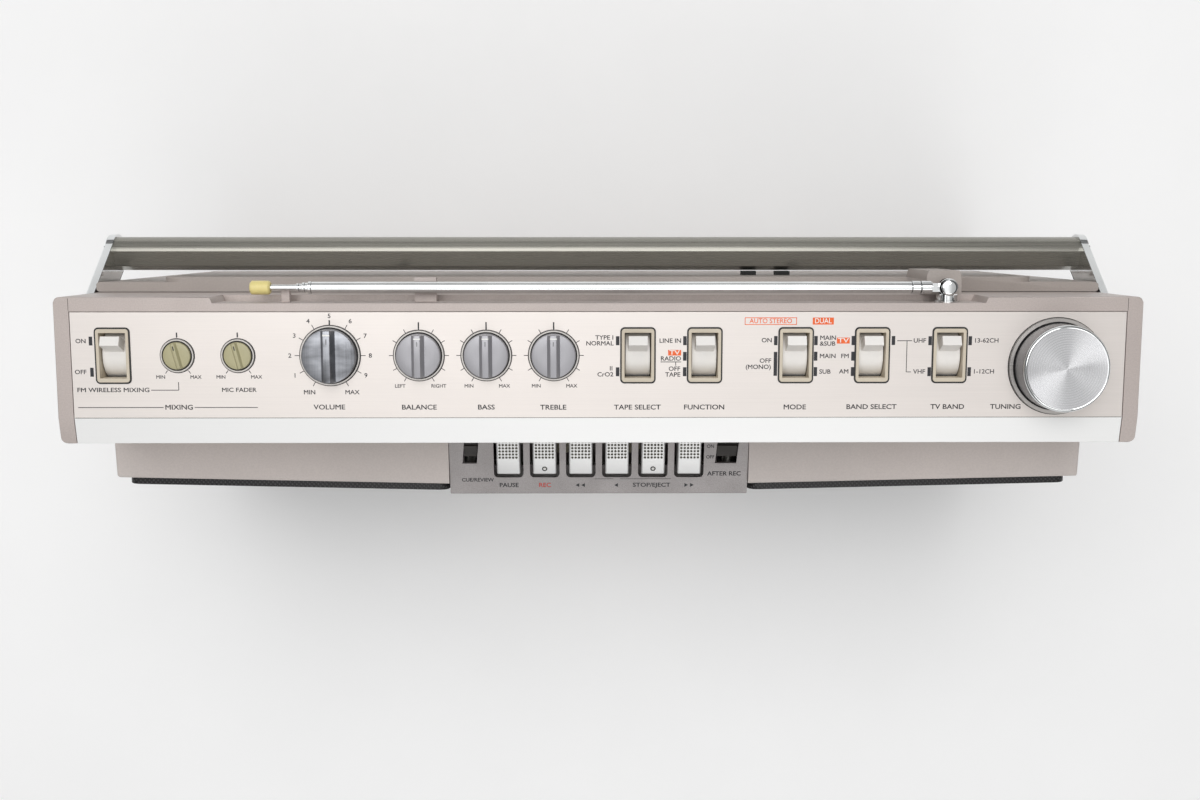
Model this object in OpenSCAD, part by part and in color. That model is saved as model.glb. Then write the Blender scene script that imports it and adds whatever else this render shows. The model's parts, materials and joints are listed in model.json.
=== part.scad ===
// Radio cassette player with a control row on top, a centre tape deck, a folding handle and a rod aerial.
// Millimetres. X runs to the right seen from the front, the front faces -Y, and Z is the height.

/* [Cabinet] */
// Width of the lower cabinet
cabinet_w = 538; // [530:1:560]
// Height of the lower cabinet's top above the floor
cabinet_top = 205; // [203:1:215]
// Distance of the front wall's plane ahead of the origin
cabinet_front = 61; // [59:0.5:64]
// How far the front face stands ahead of that beside the tape deck
front_swell = 5; // [3:0.5:6]
// Distance of the cabinet's rear face behind the origin
cabinet_rear = 47.4; // [46:0.2:50]
// Distance of the seam between the two shells ahead of the origin
seam_front = 5; // [3:0.5:6]
// Wall thickness of the mouldings
wall = 3; // [2.5:0.1:3.5]
// Distance from the origin to the crease of the front ledge
ledge_front = 42.8; // [38:0.2:46]
// Fall of the front ledge from its crease to the front face
ledge_drop = 1.8; // [1:0.1:3]
// Height of the rear lip above the cabinet's top
lip_h = 15; // [10:1:20]
// Width of the raised rear panel
hump_w = 470; // [420:1:500]
// Depth of the raised rear panel
hump_d = 2.6; // [1.5:0.1:3]
// Height of the raised rear panel's lower edge
hump_low = 100; // [96:1:120]
// Radius of the raised rear panel's corners
hump_r = 12; // [4:1:20]
// Radius of a rubber foot
foot_r = 9; // [7:0.5:12]
// Height of a rubber foot
foot_h = 4; // [3:0.5:6]
// Distance of the feet from the middle, sideways
foot_x = 235; // [200:1:245]
// Radius of a screw post
post_r = 5; // [4.5:0.1:5.5]
// Radius of a cabinet screw's shank
screw_r = 1.5; // [1.2:0.1:1.8]
// Radius of a cabinet screw's head
screw_head_r = 3.4; // [3:0.1:3.8]

/* [Control housing] */
// Overhang of the control housing past the cabinet at each end
housing_overhang = 1; // [0.5:0.1:1.5]
// Height of the control housing
housing_h = 71; // [69:0.5:76]
// Distance of the housing's front face ahead of the origin
housing_front = 31.3; // [30:0.1:33]
// Distance of the housing's rear face behind the origin
housing_rear = 42; // [41:0.1:43]
// Width of the housing's frame beside the fascia
end_frame_w = 8; // [6:0.5:10]
// Width of the housing's frame behind the fascia
rear_frame_w = 7.4; // [6.5:0.1:8]
// Thickness of the fascia plate
fascia_t = 1.5; // [1:0.1:2]
// Width of the fascia's tilted front strip
strip_w = 13.1; // [10:0.1:15]
// Fall of the fascia's tilted front strip
strip_drop = 2.3; // [1:0.1:3]
// Length of the aerial notch in the rear edge
notch_w = 387; // [384:1:400]
// Depth of the aerial notch below the top
notch_h = 25; // [20:0.5:30]
// Depth of the aerial notch from the rear face
notch_d = 3.1; // [2.5:0.1:3.5]

/* [Control row] */
// Distance of the control row behind the origin
row_y = 13; // [12:0.5:14]
// Place of the mixing lever, as a share of half the housing's width
mixing_lever_share = -0.894; // [-0.9:0.001:-0.888]
// Place of the mixing knob, as a share of half the housing's width
mixing_knob_share = -0.776; // [-0.782:0.001:-0.77]
// Place of the fader knob, as a share of half the housing's width
fader_knob_share = -0.665; // [-0.671:0.001:-0.659]
// Place of the volume knob, as a share of half the housing's width
volume_share = -0.496; // [-0.502:0.001:-0.49]
// Place of the balance knob, as a share of half the housing's width
balance_share = -0.333; // [-0.339:0.001:-0.327]
// Place of the bass knob, as a share of half the housing's width
bass_share = -0.209; // [-0.215:0.001:-0.203]
// Place of the treble knob, as a share of half the housing's width
treble_share = -0.085; // [-0.091:0.001:-0.079]
// Place of the tape lever, as a share of half the housing's width
tape_share = 0.07; // [0.064:0.001:0.076]
// Place of the function lever, as a share of half the housing's width
function_share = 0.193; // [0.187:0.001:0.199]
// Place of the mode lever, as a share of half the housing's width
mode_share = 0.361; // [0.355:0.001:0.367]
// Place of the band lever, as a share of half the housing's width
band_share = 0.502; // [0.496:0.001:0.508]
// Place of the tv lever, as a share of half the housing's width
tv_share = 0.645; // [0.639:0.001:0.651]
// Place of the tuning knob, as a share of half the housing's width
tuning_share = 0.844; // [0.838:0.001:0.85]
// Place of the tuning knob behind the origin
tuning_y = 7.5; // [6.5:0.5:8.5]
// Radius of the two small knobs
small_r = 6.8; // [6:0.1:7.5]
// Height of the two small knobs
small_h = 3.6; // [3:0.1:5]
// Radius of the volume knob
volume_r = 13.4; // [12:0.1:14]
// Height of the volume knob
volume_h = 9.7; // [8:0.1:12]
// Radius of the balance, bass and treble knobs
tone_r = 11; // [10:0.1:12]
// Height of the balance, bass and treble knobs
tone_h = 8; // [6:0.1:10]
// Radius of the tuning knob
tuning_r = 21.5; // [20:0.1:23]
// Height of the tuning knob
tuning_h = 15.6; // [12:0.1:18]
// Width of the trim ring round a knob
ring_w = 1.2; // [0.8:0.1:1.6]
// Height of the trim ring round a knob
ring_h = 1; // [0.6:0.1:1.6]
// Radius of a knob's shaft
shaft_r = 3; // [2.5:0.1:3.2]
// Radius of a potentiometer's can
pot_r = 7.5; // [6.5:0.1:8]
// Radius of a lever's drum
drum_r = 12.5; // [12:0.1:13]
// Depth of a drum's axis below the fascia
drum_depth = 15; // [14.5:0.1:16]
// Width of a lever's drum
drum_w = 12.2; // [11.2:0.1:12.4]
// Reach of a lever's tab from the drum's axis
tab_l = 20.8; // [19.5:0.1:22]
// Lean of a lever's tab to either side
tab_lean = 21.5; // [18:0.5:22]
// Width of a switch bezel
bezel_w = 16.2; // [16:0.1:17]
// Length of a switch bezel
bezel_l = 26.5; // [26:0.1:28]
// Thickness of a switch bezel's rim above the fascia
bezel_rim = 0.8; // [0.5:0.1:1.2]

/* [Tape deck] */
// Width of the tape deck
deck_w = 167; // [160:1:170]
// Height of the deck frame's lower edge
deck_low = 88; // [86:1:90]
// Drop of the deck frame's upper edge below the cabinet's top
deck_drop = 19; // [18:0.5:21]
// Distance of the deck's front face ahead of the origin
deck_front = 72.3; // [71:0.1:73]
// Rise of the key panel above the cabinet's top where it meets the housing
panel_rise = 2; // [1.5:0.1:3]
// Slope of the key panel, in degrees
panel_slope = 11.5; // [10.5:0.5:12]
// Thickness of the key panel
panel_t = 2; // [1.5:0.1:2.5]
// Pitch of the piano keys
key_pitch = 20.2; // [19:0.1:20.6]
// Width of a piano key
key_w = 13; // [11:0.1:14]
// Length of a piano key's cap
key_cap_l = 28.7; // [27:0.1:29]
// Height of a piano key's cap above the panel
key_rise = 2.6; // [2:0.1:3]
// Travel of a piano key, in degrees
key_travel = 7; // [5:0.5:7]
// Radius of the shaft that carries the piano keys
key_shaft_r = 2; // [1.8:0.1:2.5]
// Width of the cassette door
door_w = 120; // [118:1:124]
// Thickness of the cassette door
door_t = 3; // [2.5:0.1:3.5]
// Distance between the reel spindles
reel_pitch = 42.5; // [40:0.1:45]
// Width of a cassette
cassette_w = 102.4; // [100:0.1:104]
// Height of a cassette
cassette_h = 64; // [62:0.1:66]
// Radius of the capstan's flywheel
flywheel_r = 22; // [18:0.5:22]
// Radius of the drive motor
motor_r = 16; // [13:0.5:17]

/* [Dial] */
// Width of the tuning dial's window
dial_w = 280; // [250:1:320]
// Height of the tuning dial's window
dial_h = 26; // [22:0.5:30]
// Height of the dial window's lower edge above the cabinet's top
dial_low = 19; // [17:0.5:21]
// Thickness of the dial's window and scale
dial_t = 1.5; // [1.2:0.1:2]

/* [Speakers] */
// Distance of the speakers from the middle
speaker_x = 174; // [172:0.5:178]
// Height of the woofer's centre above the floor
woofer_z = 86; // [84:0.5:90]
// Radius of the woofer's frame
woofer_r = 76; // [72:0.5:78]
// Height of the tweeter's centre above the floor
tweeter_z = 179; // [177:0.5:181]
// Radius of the tweeter's flange
tweeter_r = 16; // [13:0.5:17]
// Width of a speaker grille
grille_w = 180; // [174:0.5:180]
// Height of a speaker grille
grille_h = 190; // [184:0.5:190]
// Depth of a speaker grille
grille_d = 4.2; // [3.8:0.1:6]
// Thickness of a speaker grille's sheet
grille_t = 1.2; // [1:0.1:1.5]
// Radius of a speaker grille's corners
grille_r = 6; // [3:0.5:12]

/* [Handle] */
// Distance of the handle's pivot behind the origin
pivot_y = 4; // [2:0.5:5]
// Height of the handle's pivot above the cabinet's top
pivot_rise = 43; // [42:0.5:45]
// Distance from the handle's pivot to the middle of its grip
handle_l = 90; // [88:0.5:92]
// Angle of the folded handle below the level, in degrees
handle_fold = 50; // [48:0.5:51]
// Half width of a handle's arm
arm_half = 11; // [9:0.5:12]
// Thickness of a handle's arm
arm_t = 4.5; // [4:0.1:5]
// Radius of the handle's grip
grip_r = 9.5; // [9:0.1:9.7]
// Radius of the handle's pivot screws
pivot_r = 4; // [3:0.1:5]

/* [Aerial] */
// Distance of the aerial's pivot from the middle
aerial_x = 175; // [170:0.5:178]
// Distance of the aerial's axis behind the housing's rear face
aerial_off = 4.2; // [4:0.1:4.6]
// Depth of the aerial's axis below the fascia
aerial_drop = 11; // [10:0.5:13]
// Radius of the aerial's main tube
tube_r = 3; // [2.8:0.1:3.2]
// Wall of each aerial section
tube_wall = 0.45; // [0.4:0.01:0.5]
// Length of the aerial's main tube past its elbow
tube_l = 313; // [300:1:320]
// Reach of each nested section past the one outside it
section_step = 3; // [2:0.5:4]
// Reach of the rod past the last section
rod_step = 13; // [8:0.5:14]
// Length of the aerial's tip
tip_l = 10; // [8:0.5:12]
// Radius of the aerial's tip
tip_r = 3.5; // [3:0.1:3.6]

/* [Battery and sockets] */
// Width of the battery compartment
bay_w = 256; // [250:1:260]
// Height of the battery compartment
bay_h = 74; // [70:0.5:76]
// Depth of the battery compartment
bay_d = 37; // [35:0.5:38]
// Radius of a jack socket's bore
jack_r = 1.8; // [1.6:0.05:2]
// Pitch of the jack sockets
jack_pitch = 16; // [14:0.5:18]
// Width of the socket panel
socket_w = 96; // [94:1:100]
// Height of the socket panel
socket_h = 22; // [20:0.5:26]
// Length of the mains transformer
transformer_w = 54; // [46:0.5:56]
// Height of the mains transformer
transformer_h = 44; // [38:0.5:46]

/* [Hidden] */
$fn = 48;
// Gap between pieces that are fixed side by side
fit = 0.3;
// Radial clearance of a shaft that turns in a bore
run = 0.05;
// Overshoot of a cut past the face that it opens
over = 1;

floor_z = foot_h;
inner_floor = floor_z + wall;
housing_w = cabinet_w + 2 * housing_overhang;
top_z = cabinet_top + housing_h;
fascia_rear = housing_rear - rear_frame_w;
fascia_w = housing_w - 2 * end_frame_w;
crease_front = housing_front - strip_w;
notch_y = housing_rear - notch_d;

seat_in = 3;
board_t = 1.6;
board_drop = 40;
board_z = top_z - board_drop;
board_front = 16;
board_gap = 6;
board_rear = fascia_rear - board_gap;
board_in = 22;
board_w = housing_w - 2 * board_in;
pot_drop = 13;
pot_top = top_z - pot_drop;
shaft_in = 8;
shaft_low = pot_top - shaft_in;
knob_float = 0.4;

mixing_lever_x = mixing_lever_share * housing_w / 2;
mixing_knob_x = mixing_knob_share * housing_w / 2;
fader_knob_x = fader_knob_share * housing_w / 2;
volume_x = volume_share * housing_w / 2;
balance_x = balance_share * housing_w / 2;
bass_x = bass_share * housing_w / 2;
treble_x = treble_share * housing_w / 2;
tape_x = tape_share * housing_w / 2;
function_x = function_share * housing_w / 2;
mode_x = mode_share * housing_w / 2;
band_x = band_share * housing_w / 2;
tv_x = tv_share * housing_w / 2;
tuning_x = tuning_share * housing_w / 2;
lever_at = [mixing_lever_x, tape_x, function_x, mode_x, band_x, tv_x];
drum_z = top_z - drum_depth;
drum_pin_r = 2;
side_gap = 0.5;
cheek_t = 1;
cheek_x = drum_w / 2 + side_gap;
bezel_body_w = 2 * (cheek_x + cheek_t);
bezel_mouth_l = 22.5;
bezel_end_t = 0.9;
bezel_body_l = bezel_mouth_l + 2 * bezel_end_t;
bezel_end_h = 7;

small_at = [[mixing_knob_x, row_y], [fader_knob_x, row_y]];
tone_at = [[balance_x, row_y], [bass_x, row_y], [treble_x, row_y]];
volume_at = [volume_x, row_y];
tuning_at = [tuning_x, tuning_y];
knob_at = concat(small_at, [volume_at], tone_at, [tuning_at]);
ring_gap = 0.6;
tuning_ring_w = 2 * ring_w;

pivot_z = cabinet_top + pivot_rise;
arm_gap = 0.5;
arm_waist = 0.6;
arm_in = housing_w / 2 + arm_gap;
arm_out = arm_in + arm_t;
pivot_head_lap = 3;
pivot_head_r = pivot_r + pivot_head_lap;
pivot_head_t = 2.2;
grip_y = pivot_y + handle_l * cos(handle_fold);
grip_z = pivot_z - handle_l * sin(handle_fold);

aerial_y = housing_rear + aerial_off;
aerial_z = top_z - aerial_drop;
bush_r = 4;
bush_flange_r = 6;
bush_flange_t = 0.9;
swivel_pin_r = 2.5;
swivel_cup_r = 5.2;
elbow_r = 4.6;
elbow_ear_t = 1.6;
elbow_tongue = 2.2;
elbow_tongue_r = 3.1;
elbow_pin_r = 1.2;
elbow_neck = 8;
tube_plug = 10;
section_plug = 2;
section_stop = section_plug + fit;
cradle_gap = 0.3;

post_in = 14;
post_low = 16;
post_high = 15;
post_deck = 27;
post_deck_drop = 13;
post_at = [for (side = [-1, 1]) each [
    [side * (cabinet_w / 2 - post_in), floor_z + post_low],
    [side * (cabinet_w / 2 - post_in), cabinet_top - post_high],
    [side * (deck_w / 2 + post_deck), cabinet_top - post_deck_drop]
]];
screw_head_t = 2.2;
screw_bite = 20;
screw_tip = seam_front + screw_bite;

panel_back = housing_front + fit;
panel_high = cabinet_top + panel_rise;
deck_high = cabinet_top - deck_drop;
key_shaft_front = 8;
key_shaft_drop = 15;
key_shaft_z = cabinet_top - key_shaft_drop;
key_bore_wall = 3;
key_slot_gap = 1.8;
key_front = panel_back + fit + key_cap_l;
key_count = 6;
key_flat_l = 20.5;
key_nose_rise = 0.8;
key_nose_h = 7;
key_nose_d = 8;
key_heel_drop = 5;
apron_t = 2;
switch_x = 71.6;
review_w = 7.4;
dubbing_w = 11.4;
switch_l = 7;
switch_travel = 6;
switch_back = 10;
switch_flange = 1.4;
switch_slide = 0.3;
switch_rail = 3;
guide_t = 1.6;
chassis_front = 46;
chassis_t = 1.5;
front_end_swell = 1;
nose_front = cabinet_front + front_swell;
front_lean = atan((front_swell - front_end_swell) / (cabinet_w / 2 - deck_w / 2));
nose_drop = ledge_drop * (nose_front - ledge_front) / (cabinet_front - ledge_front);
frame_back = cabinet_front - wall + fit;
door_sill = 12;
door_head = 4;
door_low = deck_low + door_sill;
door_high = deck_high - door_head;
door_pivot_r = door_t / 2;
door_pin_r = 1;
door_pin_l = 2.5;
door_pivot_front = deck_front - door_t / 2;
door_pivot_z = door_low + fit + door_pivot_r;
rail_t = 2;
rail_d = 12;
cassette_play = 0.8;
rail_x = cassette_w / 2 + cassette_play;
shelf_rise = 6.5;
shelf_z = door_low + shelf_rise;
hub_rise = 34.5;
reel_z = shelf_z + rail_t + hub_rise;
reel_shaft_r = 2;
reel_disc_r = 13;
spindle_r = 3.4;
spindle_set = 0.5;
spindle_front = frame_back - spindle_set;
collar_lap = 1.5;
capstan_x = 14;
capstan_rise = 8;
capstan_z = shelf_z + rail_t + capstan_rise;
capstan_r = 1.5;
motor_x = -52;
motor_rise = 6;
motor_z = capstan_z + motor_rise;

dial_z = cabinet_top + dial_low;
dial_lap = 3;
pointer_w = 1.6;
pointer_t = 1.2;
window_back = housing_front - wall - dial_t;
scale_front = window_back - pointer_t - 2 * fit;

woofer_lap = 8;
woofer_hole_r = woofer_r - woofer_lap;
tweeter_lap = 4;
tweeter_hole_r = tweeter_r - tweeter_lap;
speaker_flange_t = 3;
baffle_y = -cabinet_front + wall;
grille_rise = 5;
grille_low = floor_z + grille_rise;

bay_rise = 4;
bay_low = inner_floor + bay_rise;
bay_wall = 2;
bay_front = cabinet_rear - wall - bay_d;
bay_door_pivot_y = cabinet_rear - wall / 2;
bay_door_pivot_z = bay_low + fit + wall / 2;
bay_door_pin_r = 0.9;
bay_door_pin_l = 2.5;
socket_in = 25;
socket_x = cabinet_w / 2 - socket_in - socket_w / 2;
socket_rise = 38;
socket_z = inner_floor + socket_rise;
socket_t = 2.5;
socket_lap = 2;
jack_wall = 2.7;
jack_boss_r = jack_r + jack_wall;
jack_in = 12;
jack_proud = 1;
jack_d = 12;
jack_count = 4;
inlet_w = 16;
inlet_h = 9;
inlet_d = 13;
inlet_pin_r = 1.2;
inlet_pin_l = 7;
pocket_wall = 2;
inlet_in = 16;
inlet_x = socket_x + socket_w / 2 - inlet_in;
transformer_d = 38;
transformer_in = 31;
transformer_gap = 2;
transformer_x = -(cabinet_w / 2 - transformer_in - transformer_w / 2);
buffer_at = [85, 104];

taupe = "#b2aaa5";
silver = "#c8bebb";
aluminium = "#dedad5";
ivory = "#efece2";
knob_grey = "#9c9b98";
beige = "#a39d86";
chrome = "#d4d6d8";
black = "#1c1c1d";
deck_grey = "#8b8886";

// A box between two values on each axis
module block(x0, x1, y0, y1, z0, z1) {
    translate([x0, y0, z0]) cube([x1 - x0, y1 - y0, z1 - z0]);
}

// Round rods along each axis
module rod_x(r, x0, x1, y, z) {
    translate([x0, y, z]) rotate([0, 90, 0]) cylinder(r = r, h = x1 - x0);
}
module rod_y(r, x, z, y0, y1) {
    translate([x, y0, z]) rotate([-90, 0, 0]) cylinder(r = r, h = y1 - y0);
}
module rod_z(r, x, y, z0, z1) {
    translate([x, y, z0]) cylinder(r = r, h = z1 - z0);
}

// An outline in Y and Z, drawn out along X
module along_x(points, x0, x1) {
    translate([x0, 0, 0]) rotate([90, 0, 90]) linear_extrude(x1 - x0) polygon(points);
}

module round_rect(w, h, r) {
    square([w - 2 * r, h], center = true);
    square([w, h - 2 * r], center = true);
    for (i = [-1, 1], j = [-1, 1]) translate([i * (w / 2 - r), j * (h / 2 - r)]) circle(r);
}

// An upright plate with round corners, between two values of Y
module face_plate(x, z, w, h, r, y0, y1) {
    translate([x, y1, z]) rotate([90, 0, 0]) linear_extrude(y1 - y0) round_rect(w, h, r);
}

// A turned piece whose axis runs along Y; each point is a radius and a Y
module turned_y(points, x, z) {
    translate([x, 0, z]) rotate([-90, 0, 0]) rotate_extrude() polygon(points);
}

// The key panel's own frame: its rear edge at the origin, its face up
module on_panel(x) {
    translate([x, -panel_back, panel_high]) rotate([panel_slope, 0, 0]) children();
}

// Place of a piano key, counted from the left
function key_x(i) = (i - (key_count - 1) / 2) * key_pitch;

// Height of the key panel's face at a distance ahead of the origin
function panel_z(front) = panel_high - (front - panel_back) * tan(panel_slope);

// The front's own frame on one side of the deck: x runs to the cabinet's end, y into the cabinet
module on_front(side) {
    mirror([side < 0 ? 1 : 0, 0, 0]) {
        translate([deck_w / 2, -nose_front, 0]) rotate([0, 0, front_lean]) children();
    }
}

module front_cabinet() color(taupe) {
    in_w = cabinet_w / 2 - wall;
    difference() {
        union() {
            difference() {
                along_x([
                    [-seam_front, floor_z],
                    [-nose_front, floor_z],
                    [-nose_front, cabinet_top - nose_drop],
                    [-ledge_front, cabinet_top],
                    [-seam_front, cabinet_top]
                ], -cabinet_w / 2, cabinet_w / 2);
                block(-in_w, in_w, baffle_y, -seam_front + over,
                    inner_floor, cabinet_top - ledge_drop - wall);
                block(-in_w, in_w, -housing_front + wall, -seam_front + over,
                    inner_floor, cabinet_top + over);
                block(-deck_w / 2 - fit, deck_w / 2 + fit, -nose_front - over, -seam_front - wall,
                    deck_low - fit, cabinet_top + over);
            }
            for (p = post_at) rod_y(post_r, p.x, p.y, baffle_y - wall / 2, -seam_front);
        }
        for (p = post_at) rod_y(screw_r + run, p.x, p.y, -screw_tip - over, -seam_front + over);
        for (side = [-1, 1]) {
            rod_y(woofer_hole_r, side * speaker_x, woofer_z, -nose_front - over, baffle_y + over);
            rod_y(tweeter_hole_r, side * speaker_x, tweeter_z, -nose_front - over, baffle_y + over);
            on_front(side) block(0, cabinet_w, -nose_front, 0, -over, cabinet_top);
        }
    }
}

module rear_cabinet() color(taupe) {
    in_w = cabinet_w / 2 - wall;
    in_rear = cabinet_rear - wall;
    lip_top = cabinet_top + lip_h;
    boss_rear = cabinet_rear + hump_d;
    boss_drop = 1.5;
    boss_top = aerial_z - elbow_r - boss_drop;
    boss_r = 9;
    difference() {
        union() {
            difference() {
                along_x([
                    [-seam_front, floor_z],
                    [cabinet_rear, floor_z],
                    [cabinet_rear, lip_top],
                    [housing_rear + fit, lip_top],
                    [housing_rear + fit, cabinet_top],
                    [-seam_front, cabinet_top]
                ], -cabinet_w / 2, cabinet_w / 2);
                block(-in_w, in_w, -seam_front - over, in_rear, inner_floor, cabinet_top - wall);
                block(-in_w, in_w, -seam_front - over, housing_rear - wall, inner_floor, cabinet_top + over);
            }
            face_plate(0, (hump_low + lip_top) / 2, hump_w, lip_top - hump_low, hump_r,
                cabinet_rear - wall / 2, cabinet_rear + hump_d);
            block(-bay_w / 2 - bay_wall, bay_w / 2 + bay_wall, bay_front - bay_wall, cabinet_rear - wall / 2,
                bay_low - bay_wall, bay_low + bay_h + bay_wall);
            for (p = post_at) rod_y(post_r, p.x, p.y, -seam_front, cabinet_rear - wall / 2);
            block(aerial_x - boss_r, aerial_x + boss_r, housing_rear + fit, boss_rear,
                lip_top - wall, boss_top);
            intersection() {
                rod_z(boss_r, aerial_x, boss_rear, lip_top - wall, boss_top);
                block(aerial_x - boss_r, aerial_x + boss_r, housing_rear + fit, boss_rear + boss_r / 2,
                    lip_top - wall, boss_top);
            }
        }
        block(-bay_w / 2, bay_w / 2, bay_front, cabinet_rear + over, bay_low, bay_low + bay_h);
        rod_x(bay_door_pin_r + run, -bay_w / 2 - bay_door_pin_l - fit, bay_w / 2 + bay_door_pin_l + fit,
            bay_door_pivot_y, bay_door_pivot_z);
        for (p = post_at) {
            rod_y(screw_r + run, p.x, p.y, -seam_front - over, cabinet_rear + hump_d + over);
            rod_y(screw_head_r + run, p.x, p.y, cabinet_rear - screw_head_t, cabinet_rear + hump_d + over);
        }
        block(socket_x - socket_w / 2 + socket_lap, socket_x + socket_w / 2 - socket_lap,
            in_rear - over, cabinet_rear + over,
            socket_z - socket_h / 2 + socket_lap, socket_z + socket_h / 2 - socket_lap);
    }
}

module upper_housing() color(silver) {
    in_w = housing_w / 2 - wall;
    mouth_w = fascia_w / 2 - seat_in;
    frame_h = 8;
    slant = 2;
    rib_h = 8;
    cradle_x = -88;
    cradle_w = 11;
    rest_x = aerial_x - elbow_neck - tube_l - 2 * section_step - rod_step / 2;
    rest_w = 4;
    rest_past = 1;
    difference() {
        union() {
            difference() {
                along_x([
                    [-housing_front, cabinet_top],
                    [-housing_front, top_z - strip_drop],
                    [-crease_front, top_z],
                    [housing_rear, top_z],
                    [housing_rear, cabinet_top]
                ], -housing_w / 2, housing_w / 2);
                block(-in_w, in_w, -housing_front + wall, fascia_rear, cabinet_top - over,
                    top_z - fascia_t - frame_h);
                block(-mouth_w, mouth_w, -housing_front + wall, fascia_rear - seat_in, cabinet_top,
                    top_z + over);
                along_x([
                    [-housing_front - over, top_z - fascia_t - strip_drop * (strip_w + over) / strip_w],
                    [-crease_front, top_z - fascia_t],
                    [fascia_rear + fit, top_z - fascia_t],
                    [fascia_rear + fit, top_z + over],
                    [-housing_front - over, top_z + over]
                ], -fascia_w / 2 - fit, fascia_w / 2 + fit);
                translate([0, 0, top_z - notch_h]) linear_extrude(notch_h + over) polygon([
                    [-notch_w / 2, housing_rear + over],
                    [-notch_w / 2 + slant, notch_y],
                    [notch_w / 2 - slant, notch_y],
                    [notch_w / 2, housing_rear + over]
                ]);
                block(-dial_w / 2, dial_w / 2, -housing_front - over, -housing_front + wall + over,
                    dial_z, dial_z + dial_h);
            }
            for (x = [-board_w / 3, 0, board_w / 3]) {
                block(x - wall / 2, x + wall / 2, -board_front, fascia_rear + over, board_z - rib_h, board_z);
            }
            cradle_top = aerial_z - tube_r - cradle_gap;
            cradle_h = 4;
            cradle_dip = 1.2;
            cradle_lip = 2;
            cradle_floor = cradle_top - cradle_h;
            cradle_y = aerial_y + tube_r;
            block(cradle_x - cradle_w / 2, cradle_x + cradle_w / 2, notch_y - over, cradle_y + cradle_lip,
                cradle_floor, cradle_top - cradle_dip);
            block(cradle_x - cradle_w / 2, cradle_x + cradle_w / 2, cradle_y, cradle_y + cradle_lip,
                cradle_floor, cradle_top);
            block(rest_x - rest_w / 2, rest_x + rest_w / 2, notch_y - over, aerial_y + rest_past,
                cradle_floor, cradle_top);
        }
        rod_x(pivot_r + run, -housing_w / 2 - over, -in_w + over, pivot_y, pivot_z);
        rod_x(pivot_r + run, in_w - over, housing_w / 2 + over, pivot_y, pivot_z);
        rod_y(bush_r + run, aerial_x, aerial_z, fascia_rear - seat_in - over, notch_y + over);
    }
}

module control_fascia() color(aluminium) difference() {
    along_x([
        [-housing_front, top_z - strip_drop - fascia_t],
        [-housing_front, top_z - strip_drop],
        [-crease_front, top_z],
        [fascia_rear, top_z],
        [fascia_rear, top_z - fascia_t],
        [-crease_front, top_z - fascia_t]
    ], -fascia_w / 2, fascia_w / 2);
    for (p = knob_at) rod_z(shaft_r + run, p.x, p.y, top_z - fascia_t - over, top_z + over);
    for (x = lever_at) {
        block(x - bezel_body_w / 2 - fit / 2, x + bezel_body_w / 2 + fit / 2,
            row_y - bezel_body_l / 2 - fit / 2, row_y + bezel_body_l / 2 + fit / 2,
            top_z - fascia_t - over, top_z + over);
    }
}

// A bezel: a rim on the fascia, a short box below it and two cheeks that carry the drum's pins
module switch_bezel(x) difference() {
    union() {
        block(x - bezel_w / 2, x + bezel_w / 2, row_y - bezel_l / 2, row_y + bezel_l / 2,
            top_z, top_z + bezel_rim);
        block(x - bezel_body_w / 2, x + bezel_body_w / 2, row_y - bezel_body_l / 2, row_y + bezel_body_l / 2,
            top_z - bezel_end_h, top_z + bezel_rim / 2);
        for (side = [-1, 1]) {
            cheek = x + side * (cheek_x + cheek_t / 2);
            block(cheek - cheek_t / 2, cheek + cheek_t / 2,
                row_y - bezel_mouth_l / 2, row_y + bezel_mouth_l / 2,
                drum_z - 2 * drum_pin_r, top_z);
        }
    }
    block(x - cheek_x, x + cheek_x, row_y - bezel_mouth_l / 2, row_y + bezel_mouth_l / 2,
        top_z - bezel_end_h - over, top_z + bezel_rim + over);
    rod_x(drum_pin_r + run, x - bezel_w, x + bezel_w, row_y, drum_z);
}

module switch_bezels() color(ivory) for (x = lever_at) switch_bezel(x);

module knob_ring(at, r, w = ring_w) difference() {
    rod_z(r + ring_gap + w, at.x, at.y, top_z, top_z + ring_h);
    rod_z(r + ring_gap, at.x, at.y, top_z - over, top_z + ring_h + over);
}

module knob_rings() color(black) {
    for (at = small_at) knob_ring(at, small_r);
    for (at = tone_at) knob_ring(at, tone_r);
    knob_ring(volume_at, volume_r);
    knob_ring(tuning_at, tuning_r, tuning_ring_w);
}

// The scale is a tray whose end walls stand on the housing's front wall
module dial_scale() color(black) difference() {
    half = dial_w / 2 + 2 * dial_lap;
    block(-half, half, -housing_front + wall, -scale_front + dial_t,
        dial_z - 2 * dial_lap, dial_z + dial_h + 2 * dial_lap);
    block(-half + dial_lap - fit, half - dial_lap + fit, -housing_front, -scale_front,
        dial_z - 2 * dial_lap - over, dial_z + dial_h + 2 * dial_lap + over);
}

module dial_window() color("lightcyan", 0.4) {
    half = dial_w / 2 + dial_lap - fit;
    block(-half, half, -housing_front + wall, -window_back, dial_z - dial_lap, dial_z + dial_h + dial_lap);
}

module dial_pointer() color("orangered") {
    block(-pointer_w / 2, pointer_w / 2, -scale_front - fit - pointer_t, -scale_front - fit,
        dial_z - dial_lap, dial_z + dial_h + dial_lap);
}

module key_slot(x) {
    half = key_w / 2 + key_slot_gap;
    nose_swing = (panel_high - key_shaft_z) * sin(key_travel);
    block(x - half, x + half, -key_front - nose_swing, -panel_back + over, deck_high, panel_high + over);
}

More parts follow.
